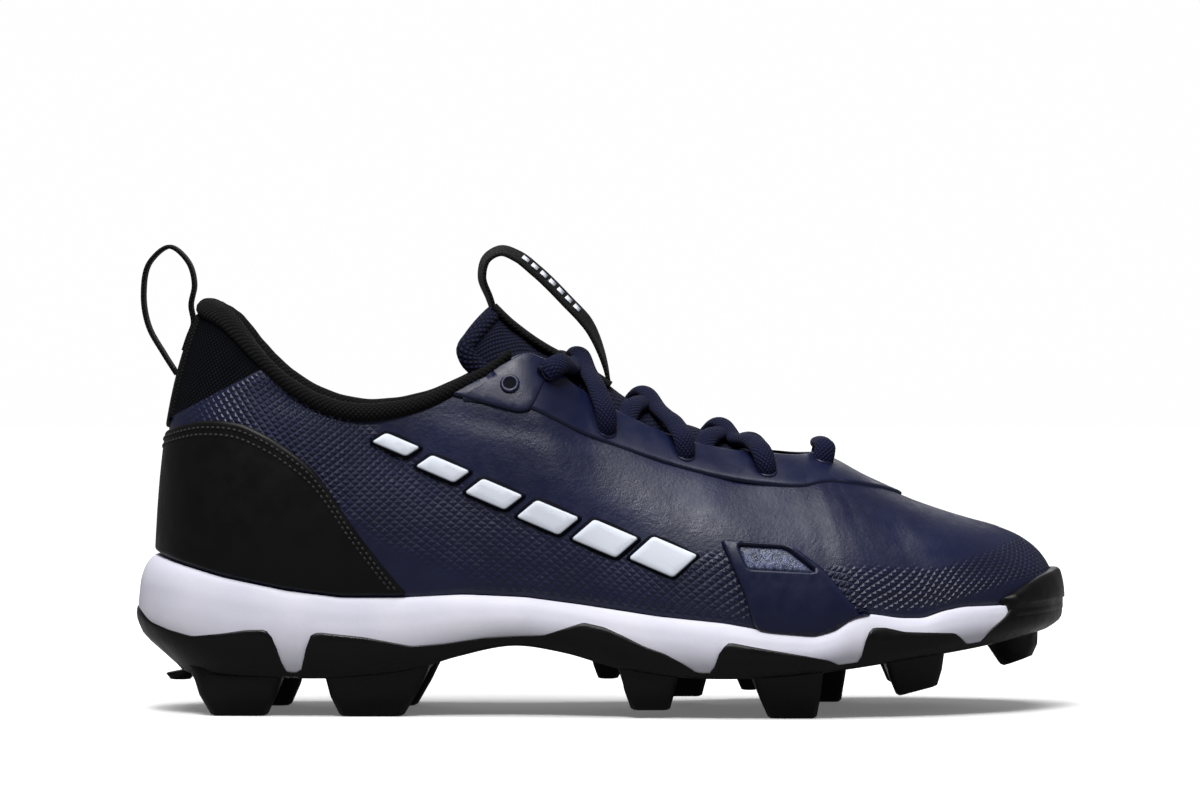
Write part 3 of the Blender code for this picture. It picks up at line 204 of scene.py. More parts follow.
# Lines on the upper, one row for each place along the ribs. v climbs a rib from 0 to 1.
LineRow = namedtuple("LineRow", "rib low high")
COUNTER_LINE = (
    LineRow(0.00, 0.012, 0.50), LineRow(1.00, 0.012, 0.53), LineRow(2.00, 0.012, 0.60),
    LineRow(3.00, 0.012, 0.71), LineRow(4.00, 0.012, 0.73), LineRow(4.45, 0.012, 0.69),
    LineRow(4.75, 0.012, 0.60), LineRow(5.10, 0.012, 0.40), LineRow(5.46, 0.012, 0.18),
    LineRow(5.74, 0.012, 0.03),
)
EYESTAY_LINE = (
    LineRow(6.60, 0.955, 0.985), LineRow(7.00, 0.870, 0.985), LineRow(8.00, 0.695, 0.985),
    LineRow(9.00, 0.727, 0.985), LineRow(10.0, 0.752, 0.985), LineRow(11.0, 0.735, 0.985),
    LineRow(12.0, 0.710, 0.985), LineRow(12.7, 0.685, 0.985), LineRow(13.2, 0.680, 1.000),
    LineRow(14.0, 0.800, 1.000), LineRow(14.5, 0.900, 1.000), LineRow(14.9, 0.985, 1.000),
)
TOE_BUMPER_LINE = (
    LineRow(15.6, 0.015, 0.04), LineRow(16.0, 0.015, 0.10), LineRow(17.0, 0.015, 0.22),
    LineRow(18.0, 0.015, 0.27), LineRow(19.0, 0.015, 0.29),
)

# The ribs where the collar's roll starts to thin and where it ends, on both sides, and the
# share by which its thickness wavers.
COLLAR_FULL = 5.5
COLLAR_END = 7.6
COLLAR_RIPPLE = 0.022

# The tongue's middle line from under the vamp to its tip, with its arch. x is a share of
# LENGTH, z of INSTEP_HEIGHT over the datum, width and drop of half of TONGUE_WIDTH, and
# setback of TONGUE_WIDTH.
TongueRow = namedtuple("TongueRow", "row x z width drop setback")
TONGUE_LINE = (
    TongueRow(0, 0.7800, 0.525, 0.95, 0.90, 0.00), TongueRow(1, 0.7300, 0.592, 1.00, 0.95, 0.00),
    TongueRow(2, 0.6667, 0.678, 1.02, 1.05, 0.00), TongueRow(3, 0.6035, 0.762, 1.04, 1.15, 0.00),
    TongueRow(4, 0.5439, 0.832, 1.06, 1.22, 0.02), TongueRow(5, 0.4842, 0.940, 1.10, 1.25, 0.05),
    TongueRow(6, 0.4351, 1.020, 1.02, 1.20, 0.12), TongueRow(7, 0.4035, 1.088, 0.94, 1.10, 0.20),
    TongueRow(8, 0.3850, 1.140, 0.88, 1.00, 0.24),
)

# Half of the tongue's arch in degrees, and how far it stands towards the inner side.
TONGUE_REACH = 64
TONGUE_SHIFT = 0.0015

# The heel's pull loop. x is a share of LENGTH and up is in loop heights over the upper's top.
LOOP_HEIGHT = 0.0212
LoopRow = namedtuple("LoopRow", "x up")
HEEL_LOOP = (
    LoopRow(0.0595, 0.13), LoopRow(0.0632, 0.42), LoopRow(0.0570, 0.74), LoopRow(0.0365, 0.97),
    LoopRow(0.0160, 0.76), LoopRow(0.0085, 0.28), LoopRow(0.0140, -0.18), LoopRow(0.0305, -0.58),
)

# Lace holes from the front one to the spare one at the top.
Eyelet = namedtuple("Eyelet", "rib v")
EYELETS = (
    Eyelet(12.85, 0.860), Eyelet(11.60, 0.800), Eyelet(10.45, 0.830), Eyelet(9.30, 0.800),
    Eyelet(8.25, 0.920), Eyelet(7.55, 0.870),
)

INSOLE_THICKNESS = 0.004
OVERLAY_GAP = 0.0007
BUMPER_THICKNESS = 0.0019
EYELET_DIAMETER = 0.0046
STRAP_THICKNESS = 0.0013
STRAP_WIDTH = 0.012
TONGUE_THICKNESS = 0.005
TONGUE_WIDTH = 0.046
COLLAR_PADDING = 0.0080

HEEL_CENTRE = 0.125
TOE_CENTRE = 0.853
TOE_SKEW = 0.058


def blend(first, second, leave, arrive, t):
    """A smooth step from first to second that leaves and arrives with the given slopes."""
    return (
        first * (1 + 2 * t) * (1 - t) ** 2 + leave * t * (1 - t) ** 2
        + second * t * t * (3 - 2 * t) + arrive * t * t * (t - 1)
    )


def curve_at(points, slopes, knots, place):
    """A smooth curve through points at the knots, read at one place."""
    k = min(int(np.searchsorted(knots, place, side="right")) - 1, len(knots) - 2)
    step = knots[k + 1] - knots[k]
    leave, arrive = slopes[k] * step, slopes[k + 1] * step
    return blend(points[k], points[k + 1], leave, arrive, (place - knots[k]) / step)


def along(rows, field, x):
    """Read a column of a table at x, on a smooth curve through its rows."""
    places = np.array([row[0] for row in rows])
    values = np.array([getattr(row, field) for row in rows])
    x = min(max(x, places[0]), places[-1])
    return curve_at(values, np.gradient(values, places), places, x)


def straight(rows, field, x):
    """Read a column of a table at x, on straight lines between its rows."""
    return float(np.interp(x, [row[0] for row in rows], [getattr(row, field) for row in rows]))


@lru_cache(maxsize=None)
def plate_z(x):
    """Height of the plate's underside at a distance x from the heel."""
    arch = along(PLATE_LINE, "arch", x / LENGTH) * ARCH_RISE
    return STUD_HEIGHT + arch + along(PLATE_LINE, "spring", x / LENGTH) * TOE_SPRING


def rim_z(x):
    """Height of the feather line, the midsole's top edge."""
    return STUD_HEIGHT + straight(RIM_LINE, "height", x / LENGTH) * RIM_HEIGHT


def rib_values(index):
    """Plan places, crest height and handles of one rib of the closed ring, in metres."""
    lateral = index <= LAST_RIB
    rib = RIBS[index if lateral else 2 * LAST_RIB - index]
    width = WIDTH_OF[rib.zone]
    side = -1 if lateral else 1
    foot = side * width * (rib.lateral if lateral else rib.medial)
    crest = side * width * (rib.crest_lateral if lateral else rib.crest_medial)
    return (
        rib.foot_x * LENGTH, foot, rib.crest_x * LENGTH, crest,
        STUD_HEIGHT + rib.crest_z * HEIGHT_OF[rib.level],
        rib.lean * width, rib.rise, rib.shoulder * width, rib.drop,
    )


RING = 2 * LAST_RIB
VALUES = np.array([rib_values(k) for k in range(RING)])
CHORDS = np.hypot(*(np.roll(VALUES, -1, axis=0) - VALUES)[:, :2].T)


def ring_values(rib, side):
    """The rib's values at any place along one side, on a smooth closed curve."""
    u = rib if side < 0 else RING - rib
    k = int(math.floor(u)) % RING
    t = u - math.floor(u)
    slopes = []
    for j in (k, (k + 1) % RING):
        before, after = CHORDS[j - 1], CHORDS[j]
        rise_in = (VALUES[j] - VALUES[j - 1]) / before
        rise_out = (VALUES[(j + 1) % RING] - VALUES[j]) / after
        slopes.append((rise_in * after + rise_out * before) / (before + after) * CHORDS[k])
    return blend(VALUES[k], VALUES[(k + 1) % RING], *slopes, t)


@lru_cache(maxsize=None)
def station(rib, side):
    """Foot point and outward direction, in plan, of the rib on one side."""
    foot_x, foot_y = ring_values(rib, side)[:2]
    centre_x = min(max(foot_x, HEEL_CENTRE * LENGTH), TOE_CENTRE * LENGTH)
    skew = np.interp(foot_x / LENGTH, (0.7, TOE_CENTRE), (0, TOE_SKEW))
    centre_y = skew * BALL_WIDTH
    out = np.array((foot_x - centre_x, foot_y - centre_y))
    return foot_x, foot_y, out / np.hypot(*out)


def rib_curve(rib, side, shares):
    """Points of the upper's outer face up one rib, at many shares of its height."""
    values = ring_values(rib, side)
    if rib >= THROAT_RIB:
        values[2:5] = (values[2:5] + ring_values(rib, -side)[2:5]) / 2
    foot_x, foot_y, crest_x, crest_y, crest_z, lean, rise, shoulder, drop = values
    out = np.array((*station(rib, side)[2], 0.0))
    foot = np.array((foot_x, foot_y, rim_z(foot_x)))
    crest = np.array((crest_x, crest_y, crest_z))
    height = crest_z - foot[2]
    up = np.array((0.0, 0.0, 1.0))
    low = foot + out * lean + up * rise * height
    high = crest + out * shoulder - up * drop * height
    v = np.asarray(shares, dtype=float)[:, None]
    return (
        foot * (1 - v) ** 3 + 3 * low * v * (1 - v) ** 2
        + 3 * high * v * v * (1 - v) + crest * v ** 3
    )


def upper_point(rib, side, v):
    """A point on the upper's outer face: rib along the shoe, v up the rib."""
    return rib_curve(rib, side, (v,))[0]


# How far apart, in ribs and shares of a rib, the points are that a normal is taken from.
NORMAL_STEP = 0.02


def upper_normal(rib, side, v):
    """The direction out of the upper at a point of its outer face."""
    run = upper_point(rib + NORMAL_STEP, side, v) - upper_point(rib - NORMAL_STEP, side, v)
    above = upper_point(rib, side, min(v + NORMAL_STEP, 1))
    rise = above - upper_point(rib, side, max(v - NORMAL_STEP, 0))
    normal = np.cross(run, rise) * -side
    return normal / np.linalg.norm(normal)


def lifted(rib, side, v, lift):
    """A point at a distance lift outside the upper's face."""
    return upper_point(rib, side, v) + upper_normal(rib, side, v) * lift


def px(x, y):
    """A point of the photo as a place along the shoe and a height, in shoe metres."""
    return (x - HEEL_PIXEL) * PIXEL, (FLOOR_PIXEL - y) * PIXEL


def smooth_step(low, high, value):
    """0 below low, 1 above high and a soft rise between."""
    t = np.clip((np.asarray(value, dtype=float) - low) / (high - low), 0.0, 1.0)
    return t * t * (3 - 2 * t)


def made_mesh(name, points, faces, **marks):
    """A mesh from points and faces, with per-point numbers for the finish."""
    mesh = bpy.data.meshes.new(name)
    mesh.from_pydata([tuple(point) for point in points], [], faces)
    for mark, numbers in marks.items():
        layer = mesh.attributes.new(mark, "FLOAT", "POINT")
        layer.data.foreach_set("value", np.asarray(numbers, dtype=np.float32))
    return mesh


def add_piece(name, mesh, finish, nodes=()):
    """Show a mesh as a piece of the shoe in the row's frame."""
    piece = bpy.data.objects.new(name, mesh)
    bpy.context.scene.collection.objects.link(piece)
    mesh.materials.clear()
    mesh.materials.append(finish)
    mesh.shade_smooth()
    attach(piece, "root")
    if nodes:
        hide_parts(*nodes)
    return piece


def grid_faces(rows, columns, first=0, flip=False):
    """Quads over a grid of points that is stored column by column."""
    faces = []
    for i in range(columns - 1):
        for j in range(rows - 1):
            a = first + i * rows + j
            quad = (a, a + rows, a + rows + 1, a + 1)
            faces.append(quad[::-1] if flip else quad)
    return faces


def tube_faces(count, size, closed_ends=True):
    """Quads between rings of one size that are stored one after the other."""
    faces = []
    for k in range(count - 1):
        for i in range(size):
            a, b = k * size + i, k * size + (i + 1) % size
            faces.append((a, b, b + size, a + size))
    if closed_ends:
        faces.append(tuple(reversed(range(size))))
        faces.append(tuple((count - 1) * size + i for i in range(size)))
    return faces


def oval(first, second, count):
    """Offsets round an oval with the half axes first and second."""
    angles = np.linspace(0, 2 * math.pi, count + 1)[:-1, None]
    return np.cos(angles) * first + np.sin(angles) * second


def lengths_of(line):
    """Length along a line at each of its points."""
    return np.concatenate(([0.0], np.cumsum(np.linalg.norm(np.diff(line, axis=0), axis=1))))


# Points nearer to each other than this are one point.
SAME_PLACE = 0.00002


class Sheet:
    """A grid of points over the upper, with the rib, the side and the share of each one."""

    def __init__(self, ribs, sides, shares_of):
        self.points = []
        self.rib = []
        self.side = []
        self.share = []
        self.row = []
        self.faces = []
        for side in sides:
            first = len(self.points)
            for rib in ribs:
                shares = shares_of(rib, side)
                self.points.extend(rib_curve(rib, side, shares))
                self.rib.extend([rib] * len(shares))
                self.side.extend([side] * len(shares))
                self.share.extend(shares)
                self.row.extend(range(len(shares)))
                rows = len(shares)
            self.faces += grid_faces(rows, len(ribs), first, flip=side > 0)
        self.points = np.array(self.points)
        self.rib = np.array(self.rib)
        self.side = np.array(self.side)
        self.share = np.array(self.share)
        self.row = np.array(self.row)
        self.merge()

    def merge(self):
        """Join points that fall together where the two sides meet."""
        keys = np.round(self.points / SAME_PLACE).astype(np.int64)
        first, back = np.unique(keys, axis=0, return_index=True, return_inverse=True)[1:]
        back = back.ravel()
        faces = []
        for face in self.faces:
            corners = []
            for corner in face:
                if back[corner] not in corners:
                    corners.append(int(back[corner]))
            if len(corners) > 2:
                faces.append(corners)
        self.faces = faces
        for field in ("points", "rib", "side", "share", "row"):
            setattr(self, field, getattr(self, field)[first])

    def normals(self):
        """Smooth normals of the grid as it stands."""
        mesh = made_mesh("probe", self.points, self.faces)
        found = np.zeros(len(self.points) * 3)
        mesh.vertex_normals.foreach_get("vector", found)
        bpy.data.meshes.remove(mesh)
        return found.reshape(-1, 3)

    def lift(self, amounts):
        """Move every point out along the smooth normal."""
        self.points = self.points + self.normals() * np.asarray(amounts)[:, None]

    def mesh(self, name, **marks):
        """The grid as a mesh in the row's frame, with per-point numbers for the finish."""
        return made_mesh(name, self.points + SHIFT, self.faces, **marks)


def steps(first, last, count):
    """Even places from first to last."""
    return list(np.linspace(first, last, count))


# The base surface that flat layers are laid on, seen from each side of the shoe.
BASE = Sheet(steps(0, LAST_RIB, 330), (-1, 1), lambda rib, side: np.linspace(0, 1, 44))
BASE_NORMALS = BASE.normals()
BASE_TRIANGLES = [
    (face[0], face[k], face[k + 1]) for face in BASE.faces for k in range(1, len(face) - 1)
]
BASE_TREE = BVHTree.FromPolygons([tuple(point) for point in BASE.points], BASE_TRIANGLES)


# Places across the shoe, in metres: clear of it, and between its middle and its side.
FAR_OUT = 0.2
HALF_WAY_OUT = 0.03


def laid(x, z, side):
    """Where a point of the side view falls on the upper, with the normal there."""
    start = Vector((x, side * FAR_OUT, z))
    hit = BASE_TREE.ray_cast(start, Vector((0, -side, 0)))
    if hit[0] is None:
        hit = BASE_TREE.find_nearest(Vector((x, side * HALF_WAY_OUT, z)))
    place, index = hit[0], hit[2]
    corners = BASE_TRIANGLES[index]
    a, b, c = (Vector(BASE.points[corner]) for corner in corners)
    weights = np.array(geometry.barycentric_transform(
        place, a, b, c, Vector((1, 0, 0)), Vector((0, 1, 0)), Vector((0, 0, 1)),
    ))
    normal = weights @ BASE_NORMALS[list(corners)]
    return np.array(place), normal / np.linalg.norm(normal)


def rounded(outline, radius, spacing):
    """A closed outline with its corners rounded, sampled at an even spacing."""
    outline = np.array(outline, dtype=float)
    corners = []
    count = len(outline)
    for k in range(count):
        before, here, after = outline[k - 1], outline[k], outline[(k + 1) % count]
        reach_in = min(radius, 0.45 * np.linalg.norm(before - here))
        reach_out = min(radius, 0.45 * np.linalg.norm(after - here))
        start = here + (before - here) / np.linalg.norm(before - here) * reach_in
        end = here + (after - here) / np.linalg.norm(after - here) * reach_out
        for t in np.linspace(0, 1, 7):
            corners.append(start * (1 - t) ** 2 + 2 * here * t * (1 - t) + end * t * t)
    corners.append(corners[0])
    return even(np.array(corners), spacing)[:-1]


def even(line, spacing):
    """A line resampled at an even spacing."""
    lengths = lengths_of(line)
    count = max(3, int(round(lengths[-1] / spacing)) + 1)
    places = np.linspace(0, lengths[-1], count)
    return np.stack([np.interp(places, lengths, line[:, k]) for k in range(line.shape[1])], axis=1)


def distance_to(points, line, closed=True):
    """Distance from each point to a line, in the plane."""
    ends = np.roll(line, -1, axis=0) if closed else line[1:]
    starts = line if closed else line[:-1]
    run = ends - starts
    length = (run ** 2).sum(axis=1) + 1e-18
    best = np.full(len(points), 1e9)
    for start, step, size in zip(starts, run, length):
        t = np.clip(((points - start) @ step) / size, 0, 1)
        gap = points - start - t[:, None] * step
        best = np.minimum(best, np.sqrt((gap ** 2).sum(axis=1)))
    return best


def inside(points, outline):
    """Which points lie within a closed outline."""
    result = np.zeros(len(points), dtype=bool)
    x, y = points[:, 0], points[:, 1]
    for a, b in zip(outline, np.roll(outline, -1, axis=0)):
        crosses = (a[1] > y) != (b[1] > y)
        with np.errstate(divide="ignore", invalid="ignore"):
            cut = (b[0] - a[0]) * (y - a[1]) / (b[1] - a[1]) + a[0]
        result ^= crosses & (x < cut)
    return result


def panel(outline, side, profile, spacing, rim, holes=()):
    """A mesh laid on the upper inside a side-view outline, raised by a profile of the distance
    to its edge. rim is the list of distances at which extra rings of points lie."""
    loops = [outline, *holes]
    points = []
    edges = []
    for loop in loops:
        first = len(points)
        points.extend(loop)
        edges.extend((first + k, first + (k + 1) % len(loop)) for k in range(len(loop)))
    rings = []
    for loop, inward in ((outline, True), *((hole, False) for hole in holes)):
        run = np.roll(loop, -1, axis=0) - np.roll(loop, 1, axis=0)
        turn = np.stack((-run[:, 1], run[:, 0]), axis=1)
        turn /= np.linalg.norm(turn, axis=1)[:, None]
        area = np.sum(loop[:, 0] * np.roll(loop[:, 1], -1) - np.roll(loop[:, 0], -1) * loop[:, 1])
        sign = np.sign(area) * (1 if inward else -1)
        for distance in rim:
            rings.append((loop + turn * sign * distance, distance))
    low = np.min(outline, axis=0)
    high = np.max(outline, axis=0)
    grid = np.array([
        (x, z)
        for i, x in enumerate(np.arange(low[0], high[0], spacing))
        for z in np.arange(low[1] + (i % 2) * spacing / 2, high[1], spacing)
    ]).reshape(-1, 2)

    def clear(candidates, distance):
        kept = inside(candidates, outline)
        for hole in holes:
            kept &= ~inside(candidates, hole)
        for loop in loops:
            kept &= distance_to(candidates, loop) > distance
        return candidates[kept]

    for ring, distance in rings:
        points.extend(clear(ring, distance * 0.93))
    if len(grid):
        points.extend(clear(grid, rim[-1] + spacing * 0.5))
    made = geometry.delaunay_2d_cdt([Vector(point) for point in points], edges, [], 0, 1e-7)
    flat = np.array([tuple(point) for point in made[0]])
    triangles = np.array([tuple(face) for face in made[2]])
    centres = flat[triangles].mean(axis=1)
    kept = inside(centres, outline)
    for hole in holes:
        kept &= ~inside(centres, hole)
    triangles = triangles[kept]
    gaps = np.min([distance_to(flat, loop) for loop in loops], axis=0)
    heights = profile(gaps, flat)
    placed = []
    for (x, z), height in zip(flat, heights):
        place, normal = laid(x, z, side)
        placed.append(place + normal * height)
    faces = [tuple(int(k) for k in face) for face in triangles]
    a, b, c = (flat[triangles[0][k]] for k in range(3))
    turns = (b[0] - a[0]) * (c[1] - a[1]) - (b[1] - a[1]) * (c[0] - a[0])
    if (turns > 0) != (side < 0):
        faces = [face[::-1] for face in faces]
    return np.array(placed), faces, gaps


def panel_mesh(name, parts):
    """One mesh from several laid panels, in the row's frame."""
    points = []
    faces = []
    gaps = []
    for placed, part_faces, part_gaps in parts:
        first = len(points)
        points.extend(placed + SHIFT)
        faces.extend(tuple(corner + first for corner in face) for face in part_faces)
        gaps.extend(part_gaps)
    return made_mesh(name, points, faces, edge=gaps)


def rise(height, edge, sink):
    """A profile that climbs from below the surface over a rounded edge to a flat top."""
    def profile(gaps, flat):
        t = np.clip(gaps / edge, 0, 1)
        return -sink + (height + sink) * np.sqrt(1 - (1 - t) ** 2)
    return profile


def srgb(red, green, blue):
    """A screen colour from 0 to 255 as the linear colour that a shader takes."""
    shares = np.array((red, green, blue)) / 255
    linear = np.where(shares > 0.04045, ((shares + 0.055) / 1.055) ** 2.4, shares / 12.92)
    return (*(float(share) for share in linear), 1.0)


class Finish:
    """One Principled material, with short names for the nodes that it is made of."""

    def __init__(self, name, colour, roughness, coat=0.0, sheen=0.0, specular=0.5):
        self.material = bpy.data.materials.new(name)
        self.material.use_nodes = True
        self.tree = self.material.node_tree
        self.shader = self.tree.nodes["Principled BSDF"]
        self.fill(self.shader, {
            "Base Color": colour, "Roughness": roughness, "Coat Weight": coat,
            "Coat Roughness": 0.25, "Sheen Weight": sheen, "Specular IOR Level": specular,
        })
        self.normal = None
        self.place = self.tree.nodes.new("ShaderNodeTexCoord").outputs["Object"]
        self.x, self.y, self.z = self.node("SeparateXYZ", {0: self.place}).outputs

    def join(self, value, socket):
        """Set a socket to a number, a colour or another node's output."""
        if isinstance(value, bpy.types.NodeSocket):
            self.tree.links.new(value, socket)
        else:
            socket.default_value = value

    def fill(self, node, values):
        """Set or join the named inputs of a node."""
        for name, value in values.items():
            self.join(value, node.inputs[name])

    def node(self, kind, values, **settings):
        """A new node with its settings and the values of its inputs."""
        made = self.tree.nodes.new("ShaderNode" + kind)
        for name, setting in settings.items():
            setattr(made, name, setting)
        self.fill(made, values)
        return made

    def maths(self, operation, *values):
        """A sum of one to three values."""
        return self.node("Math", dict(enumerate(values)), operation=operation).outputs[0]

    def mark(self, name):
        """A per-point number of the mesh."""
        return self.node("Attribute", {}, attribute_name=name).outputs["Fac"]

    def noise(self, size, detail=2.0, stretch=(1.0, 1.0, 1.0), rough=0.5):
        """Clouds of about this size in metres."""
        turn = self.node("Mapping", {"Scale": stretch, "Vector": self.place})
        values = {"Scale": 1.0 / size, "Detail": detail, "Roughness": rough,
                  "Vector": turn.outputs[0]}
        return self.node("TexNoise", values).outputs["Fac"]

    def between(self, value, low, high, start=0.0, end=1.0):
        """Value mapped softly from low..high to start..end."""
        values = {"Value": value, "From Min": low, "From Max": high, "To Min": start,
                  "To Max": end}
        return self.node("MapRange", values, interpolation_type="SMOOTHSTEP").outputs["Result"]

    def mixed(self, share, first, second):
        """Two colours mixed by a share."""
        node = self.node("Mix", {0: share}, data_type="RGBA")
        colours = [socket for socket in node.inputs if socket.type == "RGBA"]
        self.join(first, colours[0])
        self.join(second, colours[1])
        return [socket for socket in node.outputs if socket.type == "RGBA"][0]

    def bump(self, height, depth, strength=1.0):
        """Raise the surface by a height pattern of a depth in metres."""
        node = self.node("Bump", {"Distance": depth, "Strength": strength, "Height": height})
        if self.normal is not None:
            self.join(self.normal, node.inputs["Normal"])
        self.normal = node.outputs["Normal"]
        self.join(self.normal, self.shader.inputs["Normal"])

    def paint(self, value):
        """Drive the base colour."""
        self.join(value, self.shader.inputs["Base Color"])

    def gloss(self, value):
        """Drive the roughness."""
        self.join(value, self.shader.inputs["Roughness"])

    def clouds(self, size, low, high):
        """Drive the roughness by clouds of a size between two values."""
        self.gloss(self.between(self.noise(size, 3.0), 0.3, 0.7, low, high))

    def wave(self, value, pitch):
        """A triangle wave from 0 to 1 along a length."""
        part = self.maths("FRACT", self.maths("DIVIDE", value, pitch))
        folded = self.maths("ABSOLUTE", self.maths("MULTIPLY_ADD", part, 2.0, -1.0))
        return self.maths("SUBTRACT", 1.0, folded)

    def weave(self, first, second, pitch):
        """Crossing threads: first and second are lengths over the cloth."""
        one = self.wave(self.maths("ADD", first, second), pitch)
        two = self.wave(self.maths("SUBTRACT", first, second), pitch)
        return self.maths("MULTIPLY", one, two)


# The scales pressed into the skin: their pitch in metres and how much wider than high they are.
SCALE_PITCH = 0.0031
SCALE_STRETCH = 1.25


def make_navy_skin():
    """The moulded navy skin of the side and the vamp: grain, scales with painted shade in the hollows
    between them, and the mesh heel panel.
    """
    made = Finish("navy_skin", srgb(18, 24, 54), 0.42, specular=0.34)
    along = made.mark("along")
    up = made.mark("up")
    scales = made.mark("scales")
    slope = made.maths("MULTIPLY", up, SCALE_STRETCH)
    one = made.wave(made.maths("ADD", along, slope), SCALE_PITCH)
    two = made.wave(made.maths("SUBTRACT", along, slope), SCALE_PITCH)
    bead = made.between(made.maths("MINIMUM", one, two), 0.0, 0.85)
    corner, slope_end = px(191, 406), px(252, 374)
    lean = (slope_end[1] - corner[1]) / (slope_end[0] - corner[0])
    level = corner[1] - (corner[0] + SHIFT[0]) * lean
    over = made.maths("MULTIPLY_ADD", made.x, -lean, made.z)
    above = made.between(over, level - 0.0002, level + 0.0002)
    behind = made.between(made.x, px(262, 0)[0] + SHIFT[0], px(260, 0)[0] + SHIFT[0])
    cloth = made.maths("MULTIPLY", above, behind)
    skin = made.maths("SUBTRACT", 1.0, cloth)
    threads = made.weave(along, up, 0.0016)
    made.bump(made.noise(0.012, 2.0), 0.0012, 0.22)
    made.bump(made.noise(0.0011, 3.0), 0.00022, made.maths("MULTIPLY", skin, 0.5))
    made.bump(made.noise(0.0004, 2.0), 0.00010, made.maths("MULTIPLY", skin, 0.45))
    made.bump(bead, 0.00050, made.maths("MULTIPLY", scales, skin))
    made.bump(threads, 0.00045, cloth)
    patch = made.between(made.noise(0.03, 2.0), 0.35, 0.65)
    base = made.mixed(patch, srgb(14, 19, 48), srgb(19, 25, 56))
    # Painted shade: the hollows between the scale beads are darkened towards a deep navy, where shade
    # would fall.
    scale_hollow_shade = made.maths("MULTIPLY", made.between(bead, 0.35, 0.0), scales)
    shaded = made.mixed(made.maths("MULTIPLY", scale_hollow_shade, 0.42), base, srgb(6, 9, 28))
    cloth_paint = made.mixed(threads, srgb(2, 2, 4), srgb(14, 17, 28))
    made.paint(made.mixed(cloth, shaded, cloth_paint))
    worn = made.between(made.noise(0.004, 3.0), 0.3, 0.7, 0.36, 0.47)
    tips = made.maths("MULTIPLY_ADD", made.maths("MULTIPLY", bead, scales), -0.10, worn)
    made.gloss(made.maths("MULTIPLY_ADD", cloth, 0.42, tips))
    made.join(made.maths("MULTIPLY_ADD", cloth, -0.27, 0.34),
              made.shader.inputs["Specular IOR Level"])
    return made.material


def make_navy_panel():
    """Smooth navy film of the eyestay, the flap and the panel under the window."""
    made = Finish("navy_film", srgb(17, 23, 50), 0.36, specular=0.30)
    made.bump(made.noise(0.010, 2.0), 0.0010, 0.20)
    made.bump(made.noise(0.0007, 2.0), 0.00010, 0.35)
    base = made.mixed(made.noise(0.02, 2.0), srgb(13, 18, 44), srgb(18, 24, 54))
    rim = made.between(made.mark("edge"), 0.0, 0.0009)
    made.paint(made.mixed(rim, srgb(12, 17, 40), base))
    made.clouds(0.005, 0.31, 0.43)
    return made.material


def make_window():
    """The grained film at the bottom of the window."""
    made = Finish("window_film", srgb(40, 47, 78), 0.30, coat=0.1, specular=0.5)
    grain = made.noise(0.0016, 4.0, stretch=(1.0, 1.0, 0.7), rough=0.7)
    made.bump(grain, 0.00050, 0.9)
    made.paint(made.mixed(made.between(grain, 0.35, 0.65), srgb(24, 30, 58), srgb(88, 96, 128)))
    return made.material


def make_heel_black():
    """Smooth matt-black film round the heel, whose two rows of stitches are separate threads."""
    made = Finish("heel_film", srgb(12, 11, 12), 0.38, specular=0.16)
    made.bump(made.noise(0.008, 2.0), 0.0010, 0.18)
    made.bump(made.noise(0.0006, 2.0), 0.00010, 0.4)
    made.paint(made.mixed(made.noise(0.02, 3.0), srgb(8, 7, 8), srgb(14, 13, 14)))
    made.clouds(0.006, 0.35, 0.48)
    return made.material


def make_foam():
    """White moulded foam with a lilac tint that varies softly in clouds."""
    made = Finish("white_foam", srgb(210, 209, 222), 0.50, specular=0.3)
    made.shader.inputs["Subsurface Weight"].default_value = 0.06
    made.shader.inputs["Subsurface Radius"].default_value = (0.004, 0.004, 0.004)
    made.bump(made.noise(0.006, 2.0), 0.0006, 0.15)
    made.bump(made.noise(0.0005, 2.0), 0.00008, 0.4)
    tint = made.between(made.noise(0.02, 2.0), 0.3, 0.7)
    made.paint(made.mixed(tint, srgb(206, 205, 219), srgb(214, 213, 224)))
    return made.material


def make_rubber():
    """Satin black rubber with a moulded haze."""
    made = Finish("black_rubber", srgb(12, 11, 12), 0.32, specular=0.20)
    made.bump(made.noise(0.005, 2.0), 0.0007, 0.22)
    made.bump(made.noise(0.0006, 3.0), 0.00012, 0.4)
    made.paint(made.mixed(made.noise(0.012, 3.0), srgb(7, 7, 8), srgb(15, 14, 16)))
    made.clouds(0.007, 0.24, 0.40)
    return made.material


def make_cloth(name, dark, light, pitch, depth, roughness):
    """Woven or knitted cloth, with its threads along two lengths kept on the mesh."""
    made = Finish(name, light, roughness, sheen=0.02, specular=0.10)
    threads = made.weave(made.mark("along"), made.mark("up"), pitch)
    made.bump(made.noise(0.004, 2.0), 0.0005, 0.3)
    made.bump(threads, depth)
    made.bump(made.noise(0.0003, 2.0), 0.0001, 0.6)
    made.paint(made.mixed(made.between(threads, 0.05, 0.6), dark, light))
    return made.material


def make_print():
    """Raised white print."""
    made = Finish("white_print", srgb(214, 219, 230), 0.42, specular=0.3)
    made.bump(made.noise(0.0008, 2.0), 0.00008, 0.4)
    rim = made.between(made.mark("edge"), 0.00018, 0.00045)
    made.paint(made.mixed(rim, srgb(120, 126, 150), srgb(214, 219, 230)))
    return made.material


def make_plain(name, colour, roughness, specular=0.3):
    """A plain finish with a fine grain."""
    made = Finish(name, colour, roughness, specular=specular)
    made.bump(made.noise(0.001, 2.0), 0.00015, 0.5)
    return made.material


